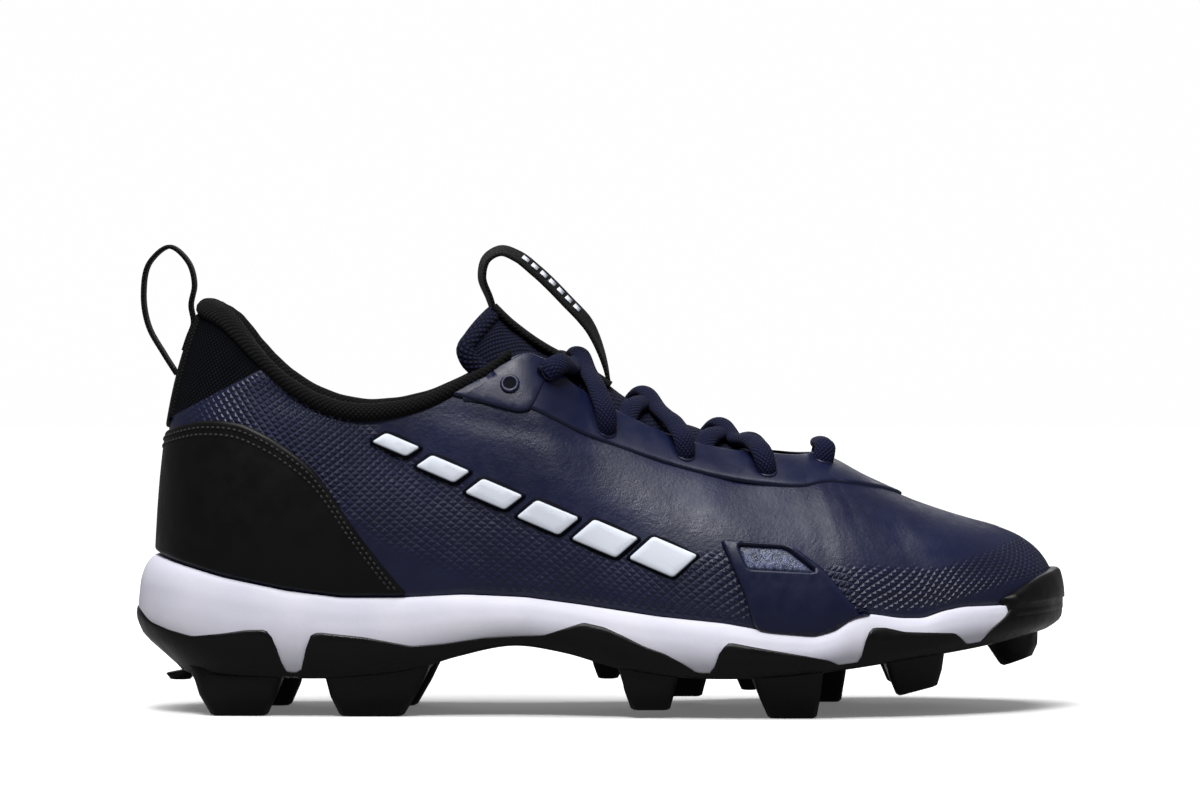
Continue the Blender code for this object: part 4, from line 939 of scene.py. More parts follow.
NAVY_SKIN = make_navy_skin()
NAVY_FILM = make_navy_panel()
WINDOW_FILM = make_window()
HEEL_FILM = make_heel_black()
FOAM = make_foam()
RUBBER = make_rubber()
KNIT = make_cloth("black_knit", srgb(3, 3, 4), srgb(17, 16, 18), 0.0016, 0.0005, 0.85)
MESH = make_cloth("navy_mesh", srgb(4, 5, 16), srgb(22, 27, 60), 0.0021, 0.0006, 0.75)
WEBBING = make_cloth("black_webbing", srgb(4, 4, 5), srgb(14, 13, 15), 0.0012, 0.0002, 0.60)
LACE = make_cloth("navy_lace", srgb(10, 13, 36), srgb(22, 28, 60), 0.0013, 0.0004, 0.72)
LINING = make_cloth("dark_lining", srgb(9, 10, 14), srgb(22, 24, 32), 0.0018, 0.0003, 0.85)
PRINT = make_print()
# Dark print outline round the bars, also used as painted shade inside the eyelet holes.
OUTLINE_AND_HOLE_SHADE = make_plain("print_outline_and_hole_shade", srgb(5, 6, 13), 0.6, specular=0.05)
THREAD = make_plain("black_thread", srgb(34, 32, 34), 0.55)


# Where the skin carries small scales: photo pixels, half width in pixels and strength.
ScaleRow = namedtuple("ScaleRow", "x y half strength")
REAR_SCALES = (
    ScaleRow(190, 412, 16, 0.5), ScaleRow(262, 402, 34, 1.0), ScaleRow(330, 450, 50, 1.0),
    ScaleRow(400, 502, 54, 0.8), ScaleRow(500, 552, 50, 0.55), ScaleRow(620, 584, 42, 0.55),
    ScaleRow(690, 592, 42, 0.9), ScaleRow(725, 590, 46, 1.0),
)
FRONT_SCALES = (
    ScaleRow(838, 588, 26, 1.0), ScaleRow(880, 590, 28, 1.0), ScaleRow(940, 588, 22, 1.0),
    ScaleRow(990, 574, 22, 0.95), ScaleRow(1035, 560, 24, 0.9), ScaleRow(1064, 566, 26, 0.85),
)

# Soft hollows and ridges pressed into the skin: the two ends in photo pixels, the
# half width in pixels and the height in metres, below zero for a hollow.
Fold = namedtuple("Fold", "x0 y0 x1 y1 half height")
FOLDS = (
    Fold(265, 392, 372, 420, 16, -0.0007), Fold(360, 440, 500, 500, 34, -0.0009),
    Fold(500, 500, 640, 545, 30, -0.0007), Fold(430, 470, 610, 545, 18, 0.0003),
    Fold(722, 470, 800, 520, 26, -0.0006), Fold(700, 500, 760, 545, 16, 0.0004),
    Fold(846, 512, 905, 540, 20, -0.0004), Fold(900, 545, 1000, 540, 16, 0.0003),
    Fold(905, 492, 1010, 520, 18, -0.0004), Fold(455, 415, 600, 445, 12, -0.0004),
    Fold(610, 410, 640, 440, 10, 0.0003), Fold(690, 440, 715, 470, 10, -0.0003),
    Fold(770, 455, 800, 480, 10, 0.0003), Fold(420, 590, 700, 616, 8, -0.0005),
    Fold(860, 600, 960, 604, 8, -0.0004), Fold(640, 455, 760, 480, 9, -0.0004),
)


def along_rows(points, rows):
    """For each point, how far it is from a chain of rows, with the rows' half width and strength."""
    best = np.full(len(points), 1e9)
    half = np.zeros(len(points))
    strength = np.zeros(len(points))
    for low, high in zip(rows, rows[1:]):
        start = np.array(px(low.x, low.y))
        run = np.array(px(high.x, high.y)) - start
        t = np.clip(((points - start) @ run) / (run @ run), 0, 1)
        gap = np.linalg.norm(points - start - t[:, None] * run, axis=1)
        nearer = gap < best
        best = np.where(nearer, gap, best)
        half = np.where(nearer, (low.half + (high.half - low.half) * t) * PIXEL, half)
        strength = np.where(nearer, low.strength + (high.strength - low.strength) * t, strength)
    return best, half, strength


def scale_mask(points):
    """Where the scales are strong, from the places of points in the side view."""
    mask = np.zeros(len(points))
    for rows in (REAR_SCALES, FRONT_SCALES):
        gap, half, strength = along_rows(points, rows)
        mask = np.maximum(mask, strength * (1 - smooth_step(0.55, 1.0, gap / half)))
    return mask


def fold_heights(points):
    """Height of the listed hollows and ridges."""
    total = np.zeros(len(points))
    for fold in FOLDS:
        start = np.array(px(fold.x0, fold.y0))
        run = np.array(px(fold.x1, fold.y1)) - start
        t = ((points - start) @ run) / (run @ run)
        near = np.clip(t, 0, 1)
        gap = np.linalg.norm(points - start - near[:, None] * run, axis=1)
        soft = np.exp(-(gap / (fold.half * PIXEL)) ** 2 * 1.6)
        ends = smooth_step(-0.25, 0.25, t) * (1 - smooth_step(0.75, 1.25, t))
        total += fold.height * soft * ends
    return total


def lengths_on(sheet):
    """Lengths along the shoe and up it for every point of a sheet, for patterns."""
    ribs = np.linspace(0, LAST_RIB, 240)
    along_side = {
        side: lengths_of(np.array([rib_curve(rib, side, (0.35,))[0] for rib in ribs]))
        for side in (-1, 1)
    }
    run = np.where(
        sheet.side < 0,
        np.interp(sheet.rib, ribs, along_side[-1]),
        np.interp(sheet.rib, ribs, along_side[1]),
    )
    heights = [lengths_of(rib_curve(rib, -1, np.linspace(0, 1, 12)))[-1] for rib in ribs]
    return run, np.interp(sheet.rib, ribs, heights) * sheet.share


def soft_line(line, field, ribs):
    """A column of a line on the upper, with its corners rounded over part of a rib."""
    places = [row.rib for row in line]
    values = [getattr(row, field) for row in line]
    ribs = np.asarray(ribs, dtype=float)
    total = 0
    for offset, weight in ((-0.42, 1), (-0.21, 2), (0.0, 3), (0.21, 2), (0.42, 1)):
        reach = np.minimum(np.abs(ribs - places[0]), np.abs(places[-1] - ribs))
        shift = np.sign(offset) * np.minimum(abs(offset), reach)
        total = total + weight * np.interp(ribs + shift, places, values)
    return total / 9


def counter_top(rib):
    """Share up the rib of the heel film's top edge."""
    return soft_line(COUNTER_LINE, "high", rib)


def build_skin():
    """The outer skin with its pressed hollows, and the lining inside it."""
    sheet = Sheet(steps(0, LAST_RIB, 330), (-1, 1), lambda rib, side: np.linspace(0, 1, 46))
    view = sheet.points[:, (0, 2)]
    bottom = smooth_step(0.0, 0.03, sheet.share)
    heights = fold_heights(view) - (1 - bottom) * 0.0006
    along_side, up_side = lengths_on(sheet)
    sheet.lift(heights)
    mesh = sheet.mesh("upper_skin", along=along_side, up=up_side, scales=scale_mask(view) * bottom)
    add_piece("upper_skin", mesh, NAVY_SKIN, ("upper",))
    inner = Sheet(steps(0, LAST_RIB, 150), (-1, 1), lambda rib, side: np.linspace(0, 1, 24))
    along_side, up_side = lengths_on(inner)
    inner.lift(np.full(len(inner.points), -UPPER_WALL))
    mesh = inner.mesh("upper_lining", along=along_side, up=up_side)
    mesh.flip_normals()
    add_piece("upper_lining", mesh, LINING, ())


def layer(rib_list, line, thickness, edge, rows):
    """A layer on the upper between two lines, with rounded edges that meet the skin."""
    spread = np.concatenate((
        (0.0, 0.006, 0.014, 0.026, 0.045), np.linspace(0.08, 0.92, rows),
        (0.955, 0.974, 0.986, 0.994, 1.0),
    ))

    def shares_of(rib, side):
        low = soft_line(line, "low", rib)
        return low + (soft_line(line, "high", rib) - low) * spread

    sheet = Sheet(rib_list, (-1, 1), shares_of)
    low = soft_line(line, "low", sheet.rib)
    high = soft_line(line, "high", sheet.rib)
    run, up = lengths_on(sheet)
    scale = up / np.maximum(sheet.share, 0.01)
    gap = np.maximum(np.minimum(high - sheet.share, sheet.share - low) * scale, 0)
    sheet.lift(rise(thickness, edge, 0.0004)(gap, None))
    return sheet, {"along": run, "up": up, "edge": gap}


# How far the thin films stand out from the skin.
FILM_RISE = 0.0008
COUNTER_RISE = 0.0011

# The stitches round the heel: how far each row is from the film's edge, the length from one
# stitch to the next, the share of it that is thread, the thread's half width and rise, and the
# place along the shoe that the stitches face away from.
STITCH_ROWS = (0.0024, 0.0045)
STITCH_PITCH = 0.0019
STITCH_SHARE = 0.66
THREAD_HALF_WIDTH = 0.0004
THREAD_RISE = 0.00028
STITCH_CENTRE = 0.07


def build_eyestay():
    """The navy film round the throat, with the flap at its rear end on both sides."""
    first, last = EYESTAY_LINE[0].rib + 0.12, EYESTAY_LINE[-1].rib
    sheet, marks = layer(steps(first, last, 220), EYESTAY_LINE, FILM_RISE, 0.0012, 16)
    add_piece("eyestay_film", sheet.mesh("eyestay_film", **marks), NAVY_FILM, ("eyestay",))
    corners = [px(446, 395), px(526, 352), px(552, 364), px(532, 411), px(519, 414)]
    outline = rounded(corners, 0.0028, 0.0008)
    profile = rise(FILM_RISE + 0.0005, 0.0010, 0.0002)
    parts = [panel(outline, side, profile, 0.0016, (0.0003, 0.0006, 0.0010)) for side in (-1, 1)]
    add_piece("eyestay_flap", panel_mesh("eyestay_flap", parts), NAVY_FILM, ())


def build_counter():
    """The black film round the heel and its two rows of stitches."""
    first, last = COUNTER_LINE[0].rib, COUNTER_LINE[-1].rib
    sheet, marks = layer(steps(first, last, 170), COUNTER_LINE, COUNTER_RISE, 0.0012, 24)
    add_piece("heel_film", sheet.mesh("heel_film", **marks), HEEL_FILM, ("heel_counter",))
    points = []
    faces = []
    for inset in STITCH_ROWS:
        for side in (-1, 1):
            line = []
            for rib in steps(0.05, last - 0.05, 240):
                top = counter_top(rib)
                curve = rib_curve(rib, side, (0.0, top))
                height = np.linalg.norm(curve[1] - curve[0]) / max(top, 0.02)
                share = top - inset / height
                if share > 0.03:
                    line.append(lifted(rib, side, share, COUNTER_RISE + 0.0001))
            line = even(np.array(line), STITCH_PITCH)
            for start, end in zip(line, line[1:]):
                add_stitch(points, faces, start, start + (end - start) * STITCH_SHARE)
    mesh = made_mesh("heel_stitches", np.array(points) + SHIFT, faces)
    add_piece("heel_stitches", mesh, THREAD, ())


def add_stitch(points, faces, start, end):
    """One short raised thread between two places on a surface."""
    run = (end - start) / np.linalg.norm(end - start)
    out = start - np.array((STITCH_CENTRE, 0.0, start[2]))
    out -= run * (out @ run)
    out /= np.linalg.norm(out)
    section = oval(np.cross(run, out) * THREAD_HALF_WIDTH, out * THREAD_RISE, 6)
    first = len(points)
    for share, size in ((0.0, 0.35), (0.18, 1.0), (0.82, 1.0), (1.0, 0.35)):
        points.extend(start + (end - start) * share + section * size)
    faces.extend(tuple(first + corner for corner in face) for face in tube_faces(4, 6))


# The side panel: how far it stands out, and the width and rise of the frame round its window.
PANEL_RISE = 0.0017
FRAME_WIDTH = 0.0022
FRAME_RISE = 0.0005


def build_side_panel():
    """The window on the outer side: a raised frame, its grained floor and the film below."""
    outer = rounded([px(718, 538), px(733, 540), px(792, 546), px(823, 568), px(862, 616),
                     px(840, 640), px(765, 640), px(752, 622), px(742, 590)], 0.0025, 0.0009)
    inner = rounded([px(737, 545), px(784, 548), px(815, 572), px(747, 568)], 0.0012, 0.0007)

    def profile(gaps, flat):
        height = rise(PANEL_RISE, 0.0011, 0.0003)(gaps, flat)
        frame_share = 1 - smooth_step(0.0, FRAME_WIDTH, distance_to(flat, inner))
        return height + frame_share * FRAME_RISE

    body = panel(outer, -1, profile, 0.0016, (0.0003, 0.0007, 0.0011), holes=(inner,))
    add_piece("side_film", panel_mesh("side_film", [body]), NAVY_FILM, ("side_panel",))
    floor = panel(inner, -1, rise(0.0004, 0.0008, 0.0001), 0.0012, (0.0004, 0.0008))
    add_piece("window_floor", panel_mesh("window_floor", [floor]), WINDOW_FILM, ())


# Plain slanted bars printed on both sides: the middle in photo pixels, then the half length,
# half height and lean of the bar in pixels.
Bar = namedtuple("Bar", "x y length height lean")
BARS = (
    Bar(396, 445, 18, 5.0, 8), Bar(443, 469, 20, 6.2, 9), Bar(494, 494, 21, 7.6, 10),
    Bar(548, 517, 22, 9.0, 11), Bar(605, 538, 23, 10.2, 12), Bar(663, 556, 23, 11.4, 13),
)


# Slope of the bars' long edges, and how far the dark edge shows round them.
BAR_SLOPE = 0.42
BAR_EDGE = 0.0009


def build_bars():
    """The white bars with a thin dark edge, growing from the heel towards the toe."""
    prints = []
    edges = []
    for side in (-1, 1):
        for bar in BARS:
            corners = []
            for run, rise_by in ((-1, -1), (1, -1), (1, 1), (-1, 1)):
                x = bar.x + run * bar.length - rise_by * bar.lean
                y = bar.y + run * bar.length * BAR_SLOPE + rise_by * bar.height
                corners.append((x, y))
            white = rounded([px(*corner) for corner in corners], 0.0012, 0.0007)
            middle = white.mean(axis=0)
            away = white - middle
            sizes = np.linalg.norm(away, axis=1)[:, None]
            dark = middle + away * (1 + BAR_EDGE / sizes)
            prints.append(panel(white, side, rise(0.0011, 0.0007, 0.0001), 0.0016,
                                (0.0003, 0.0007)))
            edges.append(panel(dark, side, rise(0.00045, 0.0005, 0.0002), 0.0024, (0.0005,)))
    add_piece("side_bars", panel_mesh("side_bars", prints), PRINT)
    add_piece("side_bar_edges", panel_mesh("side_bar_edges", edges), OUTLINE_AND_HOLE_SHADE)


# The toe's rubber: how deep its rear end sinks into the wall and the round of its top edge.
BUMPER_SINK = 0.0012
BUMPER_EDGE = 0.0022


def build_toe_bumper():
    """The rubber that laps up over the toe."""
    first, last = TOE_BUMPER_LINE[0].rib, TOE_BUMPER_LINE[-1].rib
    ribs = steps(first, last, 90)
    thickness = OVERLAY_GAP + BUMPER_THICKNESS
    points = []
    faces = []
    for side in (-1, 1):
        count = len(points)
        for rib in ribs:
            x = station(rib, side)[0]
            base, top = plate_z(x), rubber_top(x)
            full = smooth_step(first, first + 0.35, rib)
            sink = BUMPER_SINK * (1 - full) - RUBBER_PROUD - 0.0002
            column = [sole_wall(rib, side, base + (top - base) * share, sink + 0.0008 * under)
                      for share, under in ((0.70, 1), (0.76, 0), (0.9, 0))]
            column.append(sole_wall(rib, side, rim_top(x), sink))
            high = float(soft_line(TOE_BUMPER_LINE, "high", rib))
            length = np.linalg.norm(upper_point(rib, side, high) - upper_point(rib, side, 0.0))
            for share in np.linspace(0.05, 1.0, 16):
                near = min(1.0, (1 - share) * length / BUMPER_EDGE)
                lift = thickness * (1 - (1 - near) ** 2) ** 0.5 * full + 0.0002
                column.append(lifted(rib, side, share * high, lift))
            points.extend(point + SHIFT for point in column)
        faces += grid_faces(len(column), len(ribs), count, flip=side > 0)
    mesh = made_mesh("toe_rubber", points, faces)
    work = bmesh.new()
    work.from_mesh(mesh)
    bmesh.ops.remove_doubles(work, verts=work.verts, dist=SAME_PLACE)
    work.to_mesh(mesh)
    work.free()
    add_piece("toe_rubber", mesh, RUBBER, ("toe_bumper",))


def build_heel_strip():
    """The black webbing up the back of the heel, under the pull loop."""
    line = (LineRow(0.0, 0.52, 0.999), LineRow(0.55, 0.54, 0.999), LineRow(0.75, 0.56, 0.999))
    sheet, marks = layer(steps(0.0, 0.75, 16), line, 0.0012, 0.0008, 60)
    ends = 1 - smooth_step(0.62, 0.75, sheet.rib)
    sheet.lift(-0.0016 * (1 - ends))
    add_piece("heel_strip", sheet.mesh("heel_strip", **marks), WEBBING, ())


build_skin()
build_heel_strip()
build_eyestay()
build_counter()
build_side_panel()
build_bars()


def soft_row(rows, field, x, reach):
    """A column of a table with its corners rounded over a reach, all in shares."""
    offsets = np.linspace(-1, 1, 9)
    weights = 1 - 0.8 * np.abs(offsets)
    values = [straight(rows, field, x + offset * reach) for offset in offsets]
    return float(np.dot(weights, values) / weights.sum())


@lru_cache(maxsize=None)
def rubber_top(x):
    """Height of the rubber's top edge with its corners rounded."""
    height = STUD_HEIGHT + soft_row(EDGE_LINE, "height", x / LENGTH, 0.0042) * RIM_HEIGHT
    return min(max(height, plate_z(x) + PLATE_THICKNESS), rim_top(x) - RIM_GAP)


@lru_cache(maxsize=None)
def rim_top(x):
    """Height of the midsole's top edge with its corners rounded."""
    return STUD_HEIGHT + soft_row(RIM_LINE, "height", x / LENGTH, 0.008) * RIM_HEIGHT


def flare(out, h):
    """How far the sole's wall stands outside the feather line at height share h."""
    heel = max(0.0, -out[0]) ** 2
    toe = max(0.0, out[0]) ** 2
    side = 1 - heel - toe
    reach = 0.06
    return (
        heel * HEEL_FLARE * soft_row(WALL_LINE, "heel", h, reach)
        + side * SIDE_FLARE * soft_row(WALL_LINE, "side", h, reach)
        + toe * TOE_FLARE * soft_row(WALL_LINE, "toe", h, reach)
    )


def sole_wall(rib, side, z, inset):
    """A point on the sole's side wall at height z, moved inwards by inset."""
    foot_x, foot_y, out = station(rib, side)
    h = (z - plate_z(foot_x)) / (rim_top(foot_x) - plate_z(foot_x))
    reach = flare(out, h) - inset
    return np.array((foot_x + out[0] * reach, foot_y + out[1] * reach, z))


SOLE_RIBS = steps(0, LAST_RIB, 300)


def sole_loop(point_of):
    """One closed ring of points round the sole, from a function of rib and side."""
    lateral = [point_of(rib, -1) for rib in SOLE_RIBS]
    medial = [point_of(rib, 1) for rib in SOLE_RIBS[-2:0:-1]]
    return np.array(lateral + medial)


def ring_mesh(name, rings, closed=True):
    """A body through rings round the sole, closed across the shoe at both ends or open."""
    points = np.concatenate(rings)
    count = len(rings[0])
    faces = tube_faces(len(rings), count, closed_ends=False)
    ends = ((0, True), ((len(rings) - 1) * count, False)) if closed else ()
    for first, downward in ends:
        for i in range(count // 2):
            quad = (first + i, first + i + 1, first + (count - i - 1) % count,
                    first + (count - i) % count)
            corners = list(dict.fromkeys(quad))
            if len(corners) > 2:
                faces.append(corners[::-1] if downward else corners)
    return made_mesh(name, points + SHIFT, faces, along=points[:, 0], up=points[:, 1])


@lru_cache(maxsize=None)
def footbed_z(x):
    """Height of the foam under the foot."""
    depth = along(PLATE_LINE, "foam", x / LENGTH) * FOAM_THICKNESS
    return plate_z(x) + PLATE_THICKNESS + FIT_GAP + depth


def wall_ring(height_of, inset):
    """A ring on the sole's side wall, with its height for each place along the shoe."""
    def point(rib, side):
        return sole_wall(rib, side, height_of(station(rib, side)[0]), inset)
    return sole_loop(point)


def inner_ring(height_of, inset):
    """A ring inside the feather line, with its height for each place along the shoe."""
    def point(rib, side):
        x, y, out = station(rib, side)
        return np.array((x - out[0] * inset, y - out[1] * inset, height_of(x)))
    return sole_loop(point)


# The foam: how far it goes down behind the rubber's edge, its least height there, the heights
# between which it comes out from behind the rubber, the height shares and insets of its rounded
# top edge, and the insets and drops of the lip under the upper.
FOAM_LAP = 0.0015
THIN_FOAM = 0.0004
FOAM_COVER = (0.0012, 0.0040)
FOAM_EDGE = ((0.955, 0.0001), (0.985, 0.0004), (1.0, 0.0009))
FOAM_LIP = ((0.0012, 0.0003), (0.0028, 0.0008))

# The plate's underside from the middle to its rolled edge as insets and lifts, and its side
# up to the rounded top edge as height shares and how much less it stands out.
PLATE_UNDER = ((0.0120, 0.0), (0.0060, 0.0), (0.0020, 0.0), (0.0003, 0.0001))
PLATE_ROLL = 0.0006
PLATE_SIDE = (
    (0.12, 0.0), (0.22, 0.0), (0.34, 0.0), (0.46, 0.0), (0.58, 0.0), (0.70, 0.0), (0.80, 0.0),
    (0.88, 0.0), (0.94, 0.0001), (0.975, 0.0003), (1.0, 0.0009),
)

# The cover of the foam's inner slope: insets, lifts and shares of the way down to the footbed.
COVER_ROWS = (
    (0.0018, 0.0022, 0.0), (0.0030, 0.0002, 0.0), (0.5 * (0.0036 + RIM_WIDTH), 0.0003, 0.5),
    (RIM_WIDTH + 0.0006, 0.0005, 1.0),
)


def build_foam():
    """The foam cup with rounded edges, a lip under the upper and a seat for the liner."""
    def shown(share, inset):
        def point(rib, side):
            x = station(rib, side)[0]
            start = rubber_top(x) - FOAM_LAP
            gap = max(rim_top(x) - 0.0001 - start, THIN_FOAM)
            covered = 1 - smooth_step(*FOAM_COVER, gap)
            return sole_wall(rib, side, start + gap * share, inset + covered * RUBBER_WALL * 0.8)
        return sole_loop(point)

    rings = [wall_ring(lambda x: plate_z(x) + PLATE_THICKNESS, RUBBER_WALL),
             wall_ring(lambda x: rubber_top(x) - FOAM_LAP - 0.0003, RUBBER_WALL)]
    rings += [shown(share, 0.0) for share in np.linspace(0, 0.90, 13)]
    rings += [shown(share, inset) for share, inset in FOAM_EDGE]
    rings += [inner_ring(lambda x: rim_top(x) - drop, inset) for inset, drop in FOAM_LIP]
    rings.append(inner_ring(footbed_z, RIM_WIDTH))
    add_piece("midsole_foam", ring_mesh("midsole_foam", rings), FOAM, ("midsole",))


def build_plate():
    """The rubber plate with its side pads, its rolled edges and the studs."""
    def wall(share, inset):
        return wall_ring(lambda x: plate_z(x) + (rubber_top(x) - plate_z(x)) * share, inset)

    def under(inset, lift):
        return wall_ring(lambda x: plate_z(x) + lift, inset)

    rings = [under(inset, lift) for inset, lift in PLATE_UNDER]
    rings.append(under(-RUBBER_PROUD, PLATE_ROLL))
    rings += [wall(share, less - RUBBER_PROUD) for share, less in PLATE_SIDE]
    rings += [wall(0.99, RUBBER_WALL), under(RUBBER_WALL, PLATE_THICKNESS)]
    mesh = ring_mesh("outsole_rubber", rings)
    add_piece("outsole_rubber", mesh, RUBBER, ("outsole",))
    add_piece("studs", stud_mesh(), RUBBER, ())


def side_y(x, side):
    """Where the plate's edge lies across the shoe, on one side."""
    foot = [rib.foot_x for rib in RIBS]
    rib = float(np.interp(x / LENGTH, foot, range(len(foot))))
    return sole_wall(rib, side, plate_z(station(rib, side)[0]), -RUBBER_PROUD)[1]


# A stud's rings from tip to root: the height share, how much smaller the ring is in metres,
# and how far its outer face is drawn to the sole's wall.
STUD_RINGS = (
    (0.0, 0.0010, 0.0), (0.05, 0.0002, 0.0), (0.5, 0.0, 0.25), (0.86, 0.0, 0.7),
    (1.0, -0.0014, 1.0),
)

# How much wider a stud is at its root, its cut corners as a share of its half width, how far
# its outer face runs up into the pad, and the round on its edges.
STUD_SPREAD = 0.38
STUD_CHAMFER = 0.28
PAD_REACH = 0.0045
STUD_ROUND = 0.0006


def stud_mesh():
    """All the studs in one mesh: tapered blocks that run into the pads, edges rounded."""
    def plate_edge(rib, side):
        return sole_wall(rib, side, plate_z(station(rib, side)[0]), 0.0006)

    outline = sole_loop(plate_edge)[:, :2]
    centre = np.array((0.5 * LENGTH, 0.0))
    work = bmesh.new()
    for stud in STUDS:
        x = stud.x * LENGTH
        half_span = stud.span * LENGTH / 2
        half_width = stud.width * BALL_WIDTH / 2
        outer, inner = side_y(x, -1), side_y(x, 1)
        middle = (outer + inner) / 2
        y = middle + stud.side * (inner - outer) / 2 - np.sign(stud.side) * half_width * 0.3
        rings = []
        for top, trim, hug in STUD_RINGS:
            back = half_span + top * stud.back * STUD_HEIGHT - trim
            front = half_span + top * stud.front * STUD_HEIGHT - trim
            half = half_width * (1 + STUD_SPREAD * top) - trim
            chamfer = STUD_CHAMFER * half
            corners = (
                (-back, -half + chamfer), (-back + chamfer, -half), (front - chamfer, -half),
                (front, -half + chamfer), (front, half - chamfer), (front - chamfer, half),
                (-back + chamfer, half), (-back, half - chamfer),
            )
            ring = []
            for dx, dy in corners:
                share = (dx + back) / (back + front)
                lift = stud.heel_lift + (stud.toe_lift - stud.heel_lift) * share
                tip = lift * TOE_SPRING
                root = plate_z(x + dx) + PLATE_THICKNESS * 0.3
                spot = np.array((x + dx, y + dy))
                outer_face = abs(stud.side) > 0.5 and dy * stud.side > 0
                while top > 0.8 and not outer_face and not inside(spot[None], outline)[0]:
                    spot += (centre - spot) * 0.003
                if outer_face and hug > 0:
                    wall = side_y(spot[0], np.sign(stud.side)) + np.sign(stud.side) * 0.0002
                    spot[1] += (wall - spot[1]) * hug
                    root += PAD_REACH * smooth_step(0.5, 1.0, top)
                place = np.array((*spot, tip + (root - tip) * top)) + SHIFT
                ring.append(work.verts.new(place))
            rings.append(ring)
        for low, high in zip(rings, rings[1:]):
            for i in range(len(low)):
                nxt = (i + 1) % len(low)
                work.faces.new((low[i], low[nxt], high[nxt], high[i]))
        work.faces.new(reversed(rings[0]))
        work.faces.new(rings[-1])
    sharp = [edge for edge in work.edges if edge.calc_face_angle(0) > 0.3]
    bmesh.ops.bevel(work, geom=sharp, offset=STUD_ROUND, segments=3, profile=0.5,
                    affect="EDGES", clamp_overlap=True)
    mesh = bpy.data.meshes.new("studs")
    work.to_mesh(mesh)
    work.free()
    return mesh


def build_liner():
    """The flat liner on the footbed, and the cover of the slope round it."""
    inset = RIM_WIDTH + 3 * FIT_GAP

    def flat(lift, more):
        return inner_ring(lambda x: footbed_z(x) + FIT_GAP + lift, inset + more)

    def cover(inset, lift, share):
        return inner_ring(lambda x: rim_top(x) + (footbed_z(x) - rim_top(x)) * share + lift, inset)

    rings = [flat(0.0, 0.0), flat(INSOLE_THICKNESS * 0.8, 0.0), flat(INSOLE_THICKNESS, 0.0009)]
    add_piece("liner", ring_mesh("liner", rings), LINING, ("insole",))
    wall_mesh = ring_mesh("liner_wall", [cover(*row) for row in COVER_ROWS], closed=False)
    add_piece("liner_wall", wall_mesh, LINING, ())


build_foam()
build_plate()
build_liner()
build_toe_bumper()


def swept(path, section_of, closed_ends=True):
    """A body along a path. section_of gives the offsets of one ring at a place on the path."""
    path = np.array(path)
    run = np.gradient(path, axis=0)
    run /= np.linalg.norm(run, axis=1)[:, None]
    points = []
    up_marks = []
    for k in range(len(path)):
        ring = section_of(k, run[k])
        around = lengths_of(ring)
        points.extend(path[k] + ring)
        up_marks.extend(np.minimum(around, around[-1] + around[1] - around))
    faces = tube_faces(len(path), len(ring), closed_ends)
    return np.array(points), faces, np.repeat(lengths_of(path), len(ring)), up_marks


# The distance to an edge that is marked on bodies whose finish has no edge to show.
FAR_FROM_EDGE = 0.01


def joined_mesh(name, parts):
    """One mesh from several swept bodies, in the row's frame, with outward faces."""
    points = []
    faces = []
    along_marks = []
    up_marks = []
    for part_points, part_faces, part_along, part_up in parts:
        first = len(points)
        points.extend(part_points + SHIFT)
        faces.extend(tuple(corner + first for corner in face) for face in part_faces)
        along_marks.extend(part_along)
        up_marks.extend(part_up)
    inner_marks = np.full(len(points), FAR_FROM_EDGE)
    mesh = made_mesh(name, points, faces, along=along_marks, up=up_marks, edge=inner_marks)
    work = bmesh.new()
    work.from_mesh(mesh)
    bmesh.ops.recalc_face_normals(work, faces=work.faces)
    work.to_mesh(mesh)
    work.free()
    return mesh


def smooth_path(points, count):
    """Even samples of a smooth curve through a few points."""
    points = np.array(points, dtype=float)
    knots = lengths_of(points)
    slopes = np.gradient(points, knots, axis=0)
    places = np.linspace(0, knots[-1], count)
    return np.array([curve_at(points, slopes, knots, place) for place in places])


def closed_curve(points, count):
    """A smooth closed curve through a few points."""
    wrapped = np.concatenate((points[-2:], points, points[:3]))
    knots = lengths_of(wrapped)
    slopes = np.gradient(wrapped, knots, axis=0)
    places = np.linspace(knots[2], knots[2 + len(points)], count + 1)[:-1]
    return np.array([curve_at(wrapped, slopes, knots, place) for place in places])


# Section of the padded collar in shares of its padding: out from the upper's edge, up from
# it, and 1 for what lies inside the upper's wall.
ROLL = np.array((
    (0.10, -0.02, 0), (0.17, 0.14, 0), (0.14, 0.34, 0), (-0.02, 0.52, 0), (-0.22, 0.60, 0.4),
    (-0.45, 0.47, 0.9), (-0.62, 0.12, 1), (-0.66, -0.35, 1), (-0.62, -0.85, 1),
    (-0.48, -1.30, 1), (-0.24, -1.60, 1), (-0.06, -1.45, 1), (-0.02, -0.70, 1),
    (0.00, -0.02, 0.6),
))


def build_collar():
    """The padded knit roll on the upper's edge."""
    ribs = steps(0, COLLAR_END, 150)
    curve = closed_curve(ROLL, 34)
    path = []
    sections = []
    for side, places in ((-1, reversed(ribs)), (1, ribs[1:])):
        for rib in places:
            crest = rib_curve(rib, side, (1.0,))[0]
            out = np.array((*station(rib, side)[2], 0.0))
            size = COLLAR_PADDING * np.interp(rib, (COLLAR_FULL, COLLAR_END), (1.0, 0.62))
            ripple = 1 + COLLAR_RIPPLE * math.sin(rib * 9.0 + side) * math.sin(rib * 4.1)
            reach = curve[:, 0] * size * ripple - curve[:, 2] * (UPPER_WALL + FIT_GAP)
            heights = curve[:, 1] * size * ripple
            path.append(crest)
            sections.append(reach[:, None] * out + heights[:, None] * np.array((0, 0, 1.0)))
    part = swept(path, lambda k, run: sections[k])
    collar = add_piece("collar_knit", joined_mesh("collar_knit", [part]), KNIT, ("collar",))


